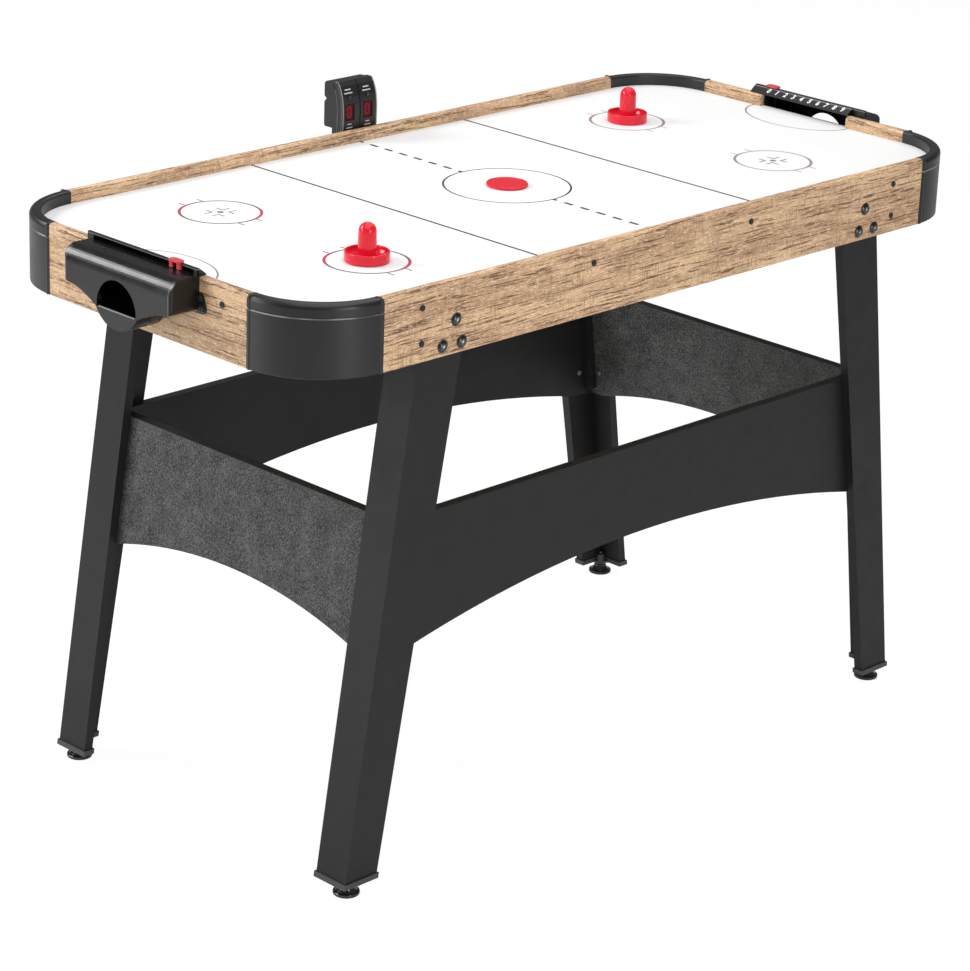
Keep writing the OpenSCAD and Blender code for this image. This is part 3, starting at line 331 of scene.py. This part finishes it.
def makePlayfield():
    look = fieldLook
    material, tree, shader, mm = newMaterial("playfieldCoating", **look["shader"])
    x, y, z = split(tree, mm)
    absX, absY = absolute(tree, x), absolute(tree, y)
    farHalf = above(tree, x, 0.0)
    ink = blendValue(tree, farHalf, look["nearInk"], look["farInk"])

    circle = ringMask(tree, x, y, *look["circle"])
    zoneLines = barMask(tree, minus(tree, absX, look["zoneLine"][0]), y, look["zoneLine"][1], look["lineEnd"])
    phase = calc(tree, "MODULO", minus(tree, absY, look["dashStart"]), look["dashStep"])
    dashes = barMask(tree, minus(tree, phase, look["dash"][0]), x, *look["dash"])
    dashes = times(tree, dashes, above(tree, absY, look["circle"][0]))
    creaseRadius = look["creaseRing"][0]
    creaseU = calc(tree, "DIVIDE", minus(tree, absX, look["creaseMiddle"]), look["crease"][0] / creaseRadius)
    creaseV = calc(tree, "DIVIDE", y, look["crease"][1] / creaseRadius)
    crease = times(tree, ringMask(tree, creaseU, creaseV, *look["creaseRing"]), look["creaseInk"])

    # the four spots, folded onto one
    spotU, spotV = minus(tree, absX, look["spot"][0]), minus(tree, absY, look["spot"][1])
    sideU, sideV = absolute(tree, spotU), absolute(tree, spotV)
    spotRing = ringMask(tree, spotU, spotV, *look["spotCircle"])
    dot = ringMask(tree, spotU, spotV, *look["dot"])
    ticks = barMask(tree, minus(tree, sideU, look["ticks"][0]), minus(tree, sideV, look["ticks"][1]), *look["tick"])
    cornerU, cornerV = minus(tree, sideU, look["corners"][0]), minus(tree, sideV, look["corners"][1])
    along = barMask(tree, minus(tree, cornerU, look["cornerShift"][0]), cornerV, *look["cornerAlong"])
    across = barMask(tree, cornerU, minus(tree, cornerV, look["cornerShift"][1]), *look["cornerAcross"])
    corners = strongest(tree, [along, across])

    # red arcs on two opposite sides of each spot circle, turned the same way on all four
    turnU = minus(tree, x, times(tree, calc(tree, "SIGN", x), look["spot"][0]))
    turnV = minus(tree, y, times(tree, calc(tree, "SIGN", y), look["spot"][1]))
    turn = math.radians(look["arcTurn"])
    lean = plus(tree, times(tree, turnU, math.cos(turn)), times(tree, turnV, math.sin(turn)))
    reach = look["spotCircle"][0] * math.cos(math.radians(look["arcHalfAngle"]))
    arcs = ringMask(tree, turnU, turnV, look["spotCircle"][0], look["arcHalfWidth"])
    red = times(tree, times(tree, arcs, above(tree, absolute(tree, lean), reach)), ink)

    black = strongest(tree, [circle, zoneLines, dashes, crease, times(tree, strongest(tree, [spotRing, ticks]), ink),
                             times(tree, corners, look["cornerInk"]), times(tree, dot, look["dotInk"])])
    cloud = remap(tree, noise(tree, mm, look["cloudSize"], 3.0, 0.5), 0.3, 0.7)
    white = blendColour(tree, cloud, look["white"], tuple(look["cloudShade"] * c for c in look["white"]))
    printed = blendColour(tree, black, white, look["line"])
    printed = blendColour(tree, red, printed, blendColour(tree, farHalf, look["red"], look["farRed"]))
    # the coating and the print are only on the top; edges and underside are bare fibreboard
    topSide = above(tree, z, look["top"])
    bare = blendColour(tree, noise(tree, mm, 1.4, 4.0, 0.7), look["bareDark"], look["bareLight"])
    plug(tree, shader, Base_Color=blendColour(tree, topSide, bare, printed),
         Roughness=blendValue(tree, topSide, look["bareRoughness"], look["roughness"]))
    return material


# bars stand in for the small print: (height, half length, half width)
scorerLook = {
    "colour": (0.0130, 0.0134, 0.0134), "roughness": 0.38, "grain": 0.5, "clouds": 40.0, "contrast": 0.14,
    "bump": 0.10, "shader": {"Specular_IOR_Level": 0.42},
    "middle": 11.5, "pitch": 18.75, "front": 342.0, "ink": (0.50, 0.50, 0.50),
    "bars": ((929.6, 6.0, 0.9), (924.6, 8.4, 0.9), (876.6, 4.2, 0.8), (871.3, 6.4, 0.8)),
    "edgeMiddle": 14, "edge": (34.85, 0.9), "edgeFront": 352.0, "edgeShare": 0.80, "edgeColour": (0.34, 0.34, 0.34),
}


def fromWindow(tree, x):
    # distance from the middle of the nearer of the two windows
    return minus(tree, absolute(tree, minus(tree, x, scorerLook["middle"])), scorerLook["pitch"])


def makeScorerShell():
    look = scorerLook
    material, tree, shader, mm, colour = makeSkin("scorerShell", look)
    x, y, z = split(tree, mm)
    u = fromWindow(tree, x)
    marks = strongest(tree, [barMask(tree, u, minus(tree, z, height), halfLength, halfWidth)
                             for height, halfLength, halfWidth in look["bars"]])
    marks = times(tree, marks, below(tree, y, look["front"]))
    # the floors of the side grooves and the face's side edges catch the light
    edge = lineMask(tree, absolute(tree, minus(tree, x, look["edgeMiddle"])), *look["edge"])
    edge = times(tree, edge, times(tree, below(tree, y, look["edgeFront"]), look["edgeShare"]))
    colour = blendColour(tree, edge, colour, look["edgeColour"])
    plug(tree, shader, Base_Color=blendColour(tree, marks, colour, look["ink"]))
    return material


lensLook = {"glass": (0.078, 0.001, 0.009), "hazeGain": 1.5, "haze": 9.0, "rim": (0.030, 0.003, 0.005),
            "window": (6.0, 10.4), "middle": 895.3, "segment": (0.30, 0.012, 0.03), "digit": (3.6, 7.2),
            "stroke": 0.75, "gaps": (0.9, 0.7),
            "shader": {"Roughness": 0.35, "Specular_IOR_Level": 0.10, "Coat_Weight": 0.05, "Coat_Roughness": 0.10}}


def makeLens():
    look = lensLook
    material, tree, shader, mm = newMaterial("displayWindow", **look["shader"])
    x, y, z = split(tree, mm)
    u, v = fromWindow(tree, x), minus(tree, z, look["middle"])
    halfWidth, halfHeight = look["digit"]
    # four uprights, a top and a bottom
    upU = minus(tree, absolute(tree, u), halfWidth)
    upV = minus(tree, absolute(tree, v), halfHeight / 2)
    uprights = barMask(tree, upU, upV, look["stroke"], halfHeight / 2 - look["gaps"][1])
    levelV = minus(tree, absolute(tree, v), halfHeight)
    levels = barMask(tree, u, levelV, halfWidth - look["gaps"][0], look["stroke"])
    segments = strongest(tree, [uprights, levels])
    hazed = tuple(look["hazeGain"] * c for c in look["glass"])
    tint = blendColour(tree, noise(tree, mm, look["haze"]), look["glass"], hazed)
    # painted shade: the lens is darker around the window, where the recess shades it
    tint = blendColour(tree, barMask(tree, u, v, *look["window"]), look["rim"], tint)
    plug(tree, shader, Base_Color=blendColour(tree, segments, tint, look["segment"]))
    return material


capLook = {"colour": (0.0090, 0.0090, 0.0087), "roughness": 0.34, "grain": 0.45, "clouds": 55.0, "contrast": 0.12,
           "bump": 0.05, "shader": {"Specular_IOR_Level": 0.46},
           "bevel": (849.9, 0.75), "shine": (0.50, 0.50, 0.49), "bevelHighlight": 0.55}


def makeCap():
    # painted highlight: the bevel under the cap's groove is painted lighter than the rest, unevenly along it
    look = capLook
    material, tree, shader, mm, colour = makeSkin("capMoulding", look)
    bevel = lineMask(tree, split(tree, mm)[2], *look["bevel"])
    bevelHighlight = remap(tree, noise(tree, mm, 45.0), 0.36, 0.60, look["bevelHighlight"] / 4, look["bevelHighlight"])
    plug(tree, shader, Base_Color=blendColour(tree, times(tree, bevel, bevelHighlight), colour, look["shine"]))
    return material


goalLook = {
    "colour": (0.0055, 0.0056, 0.0056), "roughness": 0.28, "grain": 0.5, "clouds": 45.0, "contrast": 0.05,
    "bump": 0.01, "shader": {}, "specular": 0.42, "shine": (0.34, 0.34, 0.34), "face": 724.0,
    "sideEdge": (106.6, 0.6), "sideHighlight": 0.35, "lip": (803.5, 0.65), "lipEnd": 38.0, "lipHighlight": 0.95,
    "plateLine": (879.7, 0.55), "plateHighlight": 0.45,
    "slot": (875.5, 3.5), "slotFrom": 687.0, "slotTo": 689.7, "slotShadeColour": (0.002, 0.002, 0.002),
}


def makeGoal():
    # glossy moulding with painted highlights along its sharp edges: side edges, the arch's lip, the slotted plate
    look = goalLook
    material, tree, shader, mm, colour = makeSkin("goalMoulding", look)
    x, y, z = split(tree, mm)
    absX, absY = absolute(tree, x), absolute(tree, y)
    face = above(tree, absX, look["face"])
    # painted highlights: thin light lines on the side edges, the arch's lip and the plate's top
    sides = times(tree, lineMask(tree, absY, *look["sideEdge"]), times(tree, face, look["sideHighlight"]))
    lip = times(tree, lineMask(tree, z, *look["lip"]), below(tree, absY, look["lipEnd"]))
    lip = times(tree, lip, times(tree, face, look["lipHighlight"]))
    plate = times(tree, lineMask(tree, z, *look["plateLine"]), look["plateHighlight"])
    colour = blendColour(tree, strongest(tree, [sides, lip, plate]), colour, look["shine"])
    # painted shade: inside the marker's slot it is painted darker and without shine
    slot = times(tree, lineMask(tree, z, *look["slot"]), below(tree, absX, look["slotTo"]))
    slot = times(tree, slot, above(tree, absX, look["slotFrom"]))
    plug(tree, shader, Base_Color=blendColour(tree, slot, colour, look["slotShadeColour"]),
         Specular_IOR_Level=blendValue(tree, slot, look["specular"], 0.0))
    return material


# painted highlight and painted sheen on the domed heads: the two distances from the bolt's middle, in mm, that each
# fades between
boltLook = {"colour": (0.006, 0.006, 0.0055), "roughness": 0.26, "grain": 0.4, "clouds": 6.0, "contrast": 0.20,
            "bump": 0.04, "shader": {"Specular_IOR_Level": 0.6},
            "places": ((428.5, 815.0), (452.4, 782.0), (416.9, 782.0)),
            "centreHighlight": (3.0, 1.6), "centreHighlightColour": (0.80, 0.81, 0.80),
            "domeSheen": (5.6, 4.2), "domeSheenColour": (0.065, 0.068, 0.060)}


def makeBoltSteel():
    # black bolts, with a painted highlight around the socket and a fainter painted sheen about it
    look = boltLook
    material, tree, shader, mm, colour = makeSkin("boltSteel", look)
    x, y, z = split(tree, mm)
    absX = absolute(tree, x)
    nearest = None
    for placeX, placeZ in look["places"]:
        u, v = minus(tree, absX, placeX), minus(tree, z, placeZ)
        away = calc(tree, "SQRT", calc(tree, "MULTIPLY_ADD", u, u, times(tree, v, v)))
        nearest = away if nearest is None else calc(tree, "MINIMUM", nearest, away)
    # painted sheen over the head, then a painted highlight at its middle
    colour = blendColour(tree, remap(tree, nearest, *look["domeSheen"]), colour, look["domeSheenColour"])
    colour = blendColour(tree, remap(tree, nearest, *look["centreHighlight"]), colour, look["centreHighlightColour"])
    plug(tree, shader, Base_Color=colour)
    return material


plainBoard = {"colour": (0.0105, 0.0107, 0.0107), "roughness": 0.50, "grain": 1.2, "clouds": 30.0,
              "contrast": 0.30, "bump": 0.22, "shader": {"Specular_IOR_Level": 0.30},
              "top": 534.3, "edge": (0.011, 0.011, 0.011)}
# a lighter copy of the black board with strong speckle: painted sheen on the end panel, where the left lamp falls
speckledSheenBoard = {**plainBoard, "colour": (0.050, 0.0515, 0.0505), "grain": 2.6, "contrast": 2.60}
rubbedBoard = {**plainBoard, "colour": (0.0108, 0.0110, 0.0110), "top": 534.2, "edge": (0.46, 0.30, 0.17),
               "rubbedFrom": -452.0, "rubbedTo": -476.0}


def makeBoard(name, look):
    # black laminate on board, with another colour along its upper edge
    material, tree, shader, mm, colour = makeSkin(name, look)
    x, y, z = split(tree, mm)
    edge = above(tree, z, look["top"])
    if "rubbedFrom" in look:
        # the raw edge shows only beside the near leg
        edge = times(tree, edge, remap(tree, x, look["rubbedFrom"], look["rubbedTo"]))
        edge = times(tree, edge, remap(tree, noise(tree, mm, 3.0, 3.0, 0.6), 0.32, 0.5))
    plug(tree, shader, Base_Color=blendColour(tree, edge, colour, look["edge"]))
    return material


bareLook = {"dark": (0.30, 0.20, 0.125), "light": (0.48, 0.345, 0.225), "cloud": (0.40, 0.28, 0.18),
            "fibre": 1.6, "clouds": 70.0, "bump": 0.2, "bumpDepth": 0.0004,
            "shader": {"Roughness": 0.8, "Specular_IOR_Level": 0.25}}


def makeBareBoard():
    look = bareLook
    material, tree, shader, mm = newMaterial("bareFibreboard", **look["shader"])
    fibres = noise(tree, mm, look["fibre"], 5.0, 0.75)
    cloud = noise(tree, mm, look["clouds"], 3.0, 0.5)
    colour = blendColour(tree, fibres, look["dark"], look["light"])
    plug(tree, shader, Base_Color=blendColour(tree, cloud, colour, look["cloud"]))
    addBump(tree, shader, fibres, look["bump"], look["bumpDepth"])
    return material


redLook = {"dark": (0.68, 0.008, 0.026), "light": (0.73, 0.011, 0.032), "swirl": 22.0, "roughness": (0.17, 0.20),
           "shader": {"Specular_IOR_Level": 0.36, "Coat_Weight": 0.12, "Coat_Roughness": 0.05}}


def makeRedPlastic():
    look = redLook
    material, tree, shader, mm = newMaterial("redMoulding", **look["shader"])
    swirl = noise(tree, mm, look["swirl"], 3.0, 0.5)
    plug(tree, shader, Base_Color=blendColour(tree, swirl, look["dark"], look["light"]),
         Roughness=remap(tree, swirl, 0.3, 0.7, *look["roughness"]))
    return material


brushing = (0.15, 0.9, 2.5)  # noise per mm along x, y and z
zincLook = {"dark": (0.48, 0.49, 0.50), "light": (0.66, 0.67, 0.69), "roughness": (0.28, 0.40)}
motorLook = {"dark": (0.60, 0.61, 0.63), "light": (0.76, 0.77, 0.79), "roughness": (0.24, 0.36)}


def makeMetal(name, look):
    material, tree, shader, mm = newMaterial(name, Metallic=1.0)
    stretched = join(tree, *(times(tree, axis, amount) for axis, amount in zip(split(tree, mm), brushing)))
    brushed = noise(tree, stretched, 1.0, 4.0, 0.6)
    plug(tree, shader, Base_Color=blendColour(tree, brushed, look["dark"], look["light"]),
         Roughness=remap(tree, brushed, 0.3, 0.7, *look["roughness"]))
    return material


circuitLook = {"board": (0.012, 0.085, 0.03), "track": (0.10, 0.22, 0.06), "cell": 5.0, "edge": (0.42, 0.48)}


def makeCircuitBoard():
    look = circuitLook
    material, tree, shader, mm = newMaterial("circuitBoard", Roughness=0.35)
    inputs = {"Vector": mm, "Scale": 1 / look["cell"]}
    cells = addNode(tree, "TexVoronoi", inputs, distance="CHEBYCHEV").outputs[0]
    tracks = remap(tree, cells, *look["edge"])
    plug(tree, shader, Base_Color=blendColour(tree, tracks, look["board"], look["track"]))
    return material


shoeLook = {"colour": (0.040, 0.040, 0.041), "roughness": 0.42, "grain": 0.6, "clouds": 20.0, "contrast": 0.15,
            "bump": 0.12, "shader": {}}
levellerLook = {"colour": (0.014, 0.014, 0.015), "roughness": 0.16, "grain": 1.2, "clouds": 12.0,
                "contrast": 0.12, "bump": 0.04, "shader": {"Coat_Weight": 0.5}}
blowerLook = {"colour": (0.030, 0.031, 0.033), "roughness": 0.45, "grain": 0.8, "clouds": 25.0, "contrast": 0.15,
              "bump": 0.10, "shader": {}}
smallPartLook = {"colour": (0.018, 0.018, 0.019), "roughness": 0.36, "grain": 0.5, "clouds": 12.0,
                 "contrast": 0.12, "bump": 0.06, "shader": {}}
screwLook = {"colour": (0.028, 0.024, 0.022), "roughness": 0.34, "grain": 0.4, "clouds": 6.0, "contrast": 0.20,
             "bump": 0.05, "shader": {}}
markerLook = {"colour": (0.62, 0.050, 0.066), "roughness": 0.28, "grain": 0.8, "clouds": 14.0, "contrast": 0.08,
              "bump": 0.04, "shader": {}}

finishes = {
    "longOak": makeOak("sawnOakLong", along="X", lightness=0.97, shift=0.0),
    "endOak": makeOak("sawnOakEnd", along="Y", lightness=0.90, shift=390.0),
    "cap": makeCap(), "goal": makeGoal(), "bolt": makeBoltSteel(), "playfield": makePlayfield(),
    "board": makeBoard("blackBoard", plainBoard),
    "endBoard": makeBoard("blackBoardSpeckledSheen", speckledSheenBoard),
    "rubbedBoard": makeBoard("blackBoardRubbed", rubbedBoard),
    "bareBoard": makeBareBoard(),
    "shoe": makeSkin("shoeMoulding", shoeLook)[0],
    "leveller": makeSkin("levellerMoulding", levellerLook)[0],
    "blower": makeSkin("blowerMoulding", blowerLook)[0],
    "blackPlastic": makeSkin("blackMoulding", smallPartLook)[0],
    "blackSteel": makeSkin("blackOxideSteel", screwLook)[0],
    "zinc": makeMetal("zincSteel", zincLook), "aluminium": makeMetal("motorCan", motorLook),
    "red": makeRedPlastic(), "marker": makeSkin("markerMoulding", markerLook)[0],
    "scorerShell": makeScorerShell(), "lens": makeLens(), "circuitBoard": makeCircuitBoard(),
}
# the first start that fits a node's name gives its finish
finishOf = {
    "long_apron": "longOak", "end_apron": "endOak", "corner_cap": "cap", "playfield": "playfield",
    "support_strips": "bareBoard", "air_chamber": "bareBoard", "leg_brackets": "board",
    "blower_motor": "aluminium", "blower_impeller": "blackPlastic", "blower": "blower", "power": "blackPlastic",
    "long_panel_front": "rubbedBoard", "leg_side": "board", "leg_end": "board", "long_panel": "board",
    "end_panel": "endBoard", "foot_shoe": "shoe", "leveller": "leveller", "leg_bolts": "bolt",
    "apron_screws": "blackSteel", "goal_screws": "blackSteel", "panel_screws": "zinc",
    "goal_box": "goal", "score_hood": "goal", "score_marker": "marker", "scorer_lenses": "lens",
    "scorer_board": "circuitBoard", "scorer_bracket": "zinc", "scorer_button": "blackPlastic",
    "scorer": "scorerShell", "puck": "red", "pusher": "red",
}
for name, node in nodes.items():
    key = next(start for start in finishOf if name.startswith(start))
    node.data.materials.clear()
    node.data.materials.append(finishes[finishOf[key]])
print("finishes on", len(nodes), "nodes")


# ---------- printed numbers on the score hoods ----------

# in metres; inner and outer are (x, z) of the strip's two edges
numberLook = {"height": 0.0118, "step": 0.017, "thick": 0.00012, "lift": 0.0001, "slant": 0.28, "bold": 0.00038,
              "inner": (0.674, 0.8723), "outer": (0.686, 0.8815),
              "dark": (0.70, 0.70, 0.70), "light": (0.86, 0.86, 0.86), "roughness": (0.40, 0.55),
              "shader": {"Specular_IOR_Level": 0.4}}


def makeNumberInk():
    look = numberLook
    material, tree, shader, mm = newMaterial("numberInk", **look["shader"])
    tone = noise(tree, mm, 3.0, 3.0, 0.6)
    plug(tree, shader, Base_Color=blendColour(tree, tone, look["dark"], look["light"]),
         Roughness=remap(tree, tone, 0.3, 0.7, *look["roughness"]))
    return material


def makeDigit(digit):
    # one flat digit as points about its own middle and faces
    look = numberLook
    curve = bpy.data.curves.new("digit", "FONT")
    curve.body, curve.size, curve.shear = str(digit), look["height"], look["slant"]
    curve.extrude, curve.offset, curve.resolution_u = look["thick"], look["bold"], 4
    holder = bpy.data.objects.new("digit", curve)
    bpy.context.scene.collection.objects.link(holder)
    bpy.context.view_layer.update()
    mesh = bpy.data.meshes.new_from_object(holder.evaluated_get(bpy.context.evaluated_depsgraph_get()))
    flat = np.empty(len(mesh.vertices) * 3)
    mesh.vertices.foreach_get("co", flat)
    flat = flat.reshape(-1, 3)
    bpy.data.objects.remove(holder)
    return flat - (flat.max(axis=0) + flat.min(axis=0)) / 2, [tuple(face.vertices) for face in mesh.polygons]


def numberStrip(name, turned):
    # ten digits along the sloped strip: each point goes to centre + u*right + v*up + w*normal
    look = numberLook
    inner, outer = look["inner"], look["outer"]
    slope = math.atan2(outer[1] - inner[1], outer[0] - inner[0])
    right, up = np.array((0.0, -1.0, 0.0)), np.array((math.cos(slope), 0.0, math.sin(slope)))
    normal = np.cross(right, up)
    middle = np.array(((inner[0] + outer[0]) / 2, 0.0, (inner[1] + outer[1]) / 2))
    points, faces, count = [], [], 0
    for digit in range(10):
        flat, outline = makeDigit(digit)
        centre = middle + right * (digit - 4.5) * look["step"] + normal * look["lift"]
        points.append(centre + np.outer(flat[:, 0], right) + np.outer(flat[:, 1], up) + np.outer(flat[:, 2], normal))
        faces += [tuple(index + count for index in face) for face in outline]
        count += len(flat)
    place = np.vstack(points) * ((-1, -1, 1) if turned else (1, 1, 1))
    mesh = bpy.data.meshes.new(name)
    mesh.from_pydata(place.tolist(), [], faces)
    piece = bpy.data.objects.new(name, mesh)
    bpy.context.scene.collection.objects.link(piece)
    return piece


numberInk = makeNumberInk()
for name, turned in (("numbers_right", False), ("numbers_left", True)):
    strip = numberStrip(name, turned)
    strip.data.materials.append(numberInk)
    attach(strip, "table")
print("numbers printed")


# ---------- floor, light and camera ----------

stageLook = {"size": 16.0, "shade": 0.90, "lift": 0.90, "glow": 1.05, "worldLight": 0.43, "mirrorLight": 0.17}


def seenDirectly(tree):
    rays = tree.nodes.new("ShaderNodeLightPath").outputs
    return rays, calc(tree, "MAXIMUM", rays["Is Camera Ray"], rays["Is Transmission Ray"])


def makeFloor():
    # pale floor that the camera sees lifted to white, with the shadow kept
    look = stageLook
    half = look["size"]
    mesh = bpy.data.meshes.new("studioFloor")
    mesh.from_pydata([(-half, -half, 0), (half, -half, 0), (half, half, 0), (-half, half, 0)], [], [(0, 1, 2, 3)])
    floor = bpy.data.objects.new("studioFloor", mesh)
    bpy.context.scene.collection.objects.link(floor)
    material = bpy.data.materials.new("studioFloor")
    material.use_nodes = True
    tree = material.node_tree
    tree.nodes.clear()
    seen = seenDirectly(tree)[1]
    plain = addNode(tree, "BsdfDiffuse", {"Color": (look["shade"], look["shade"], look["shade"], 1)}).outputs[0]
    glow = addNode(tree, "Emission", {"Color": (1, 1, 1, 1), "Strength": look["glow"]}).outputs[0]
    white = addNode(tree, "MixShader", {0: look["lift"], 1: plain, 2: glow}).outputs[0]
    mixed = addNode(tree, "MixShader", {0: seen, 1: plain, 2: white}).outputs[0]
    addNode(tree, "OutputMaterial", {"Surface": mixed})
    mesh.materials.append(material)


def makeSky():
    # white to the camera, dimmer as light, dimmer still in reflections
    look = stageLook
    world = bpy.data.worlds.new("studioSky")
    bpy.context.scene.world = world
    world.use_nodes = True
    tree = world.node_tree
    tree.nodes.clear()
    rays, seen = seenDirectly(tree)
    strength = blendValue(tree, rays["Is Glossy Ray"], look["worldLight"], look["mirrorLight"])
    strength = blendValue(tree, seen, strength, 1.0)
    sky = addNode(tree, "Background", {"Color": (1, 1, 1, 1), "Strength": strength}).outputs[0]
    addNode(tree, "OutputWorld", {"Surface": sky})


lamps = {
    "overhead": {"size": (3.2, 3.2), "power": 44.0, "place": (0.95, 0.35, 3.2), "aim": (0, 0, 0.8)},
    "topNear": {"size": (2.2, 2.2), "power": 26.0, "place": (-0.95, -0.85, 3.0), "aim": (-0.3, -0.2, 0.85)},
    "leftSoftbox": {"size": (0.6, 1.7), "power": 27.0, "place": (-3.3, 1.4, 1.25), "aim": (0, 0, 0.9)},
    "frontSoftbox": {"size": (0.55, 1.7), "power": 36.0, "place": (-0.95, -3.5, 1.25), "aim": (0, 0, 0.9)},
    "backLeft": {"size": (1.3, 1.3), "power": 66.0, "place": (-2.0, 2.3, 2.5), "aim": (-0.7, 0, 0.85)},
}


def makeLamps():
    for name, look in lamps.items():
        data = bpy.data.lights.new(name, "AREA")
        data.shape, data.energy = "RECTANGLE", look["power"]
        data.size, data.size_y = look["size"]
        lamp = bpy.data.objects.new(name, data)
        place, aim = np.array(look["place"], float), np.array(look["aim"], float)
        back = (place - aim) / np.linalg.norm(place - aim)
        side = np.cross((0, 0, 1), back)
        length = np.linalg.norm(side)
        side = side / length if length > 1e-6 else np.array((1.0, 0.0, 0.0))  # straight above its aim
        lamp.matrix_world = Matrix(np.column_stack((side, np.cross(back, side), back)).tolist()).to_4x4()
        lamp.location = place
        bpy.context.scene.collection.objects.link(lamp)


# solved from the photo's straight lines and circles
cameraLook = {"place": (-3.4202, -3.31232, 2.16449), "turn": (1.2120165, -0.0345803, -0.7850719),
              "focalPixels": 3348.4, "imageHeight": 971}


def makeCamera():
    look = cameraLook
    data = bpy.data.cameras.new("photoCamera")
    data.sensor_fit, data.sensor_height = "VERTICAL", 36.0
    data.lens = look["focalPixels"] * data.sensor_height / look["imageHeight"]
    camera = bpy.data.objects.new("photoCamera", data)
    camera.location, camera.rotation_euler = look["place"], look["turn"]
    bpy.context.scene.collection.objects.link(camera)
    bpy.context.scene.camera = camera


makeFloor()
makeSky()
makeLamps()
makeCamera()
bpy.context.scene.view_settings.view_transform = "Standard"
print("stage, lamps and camera set")
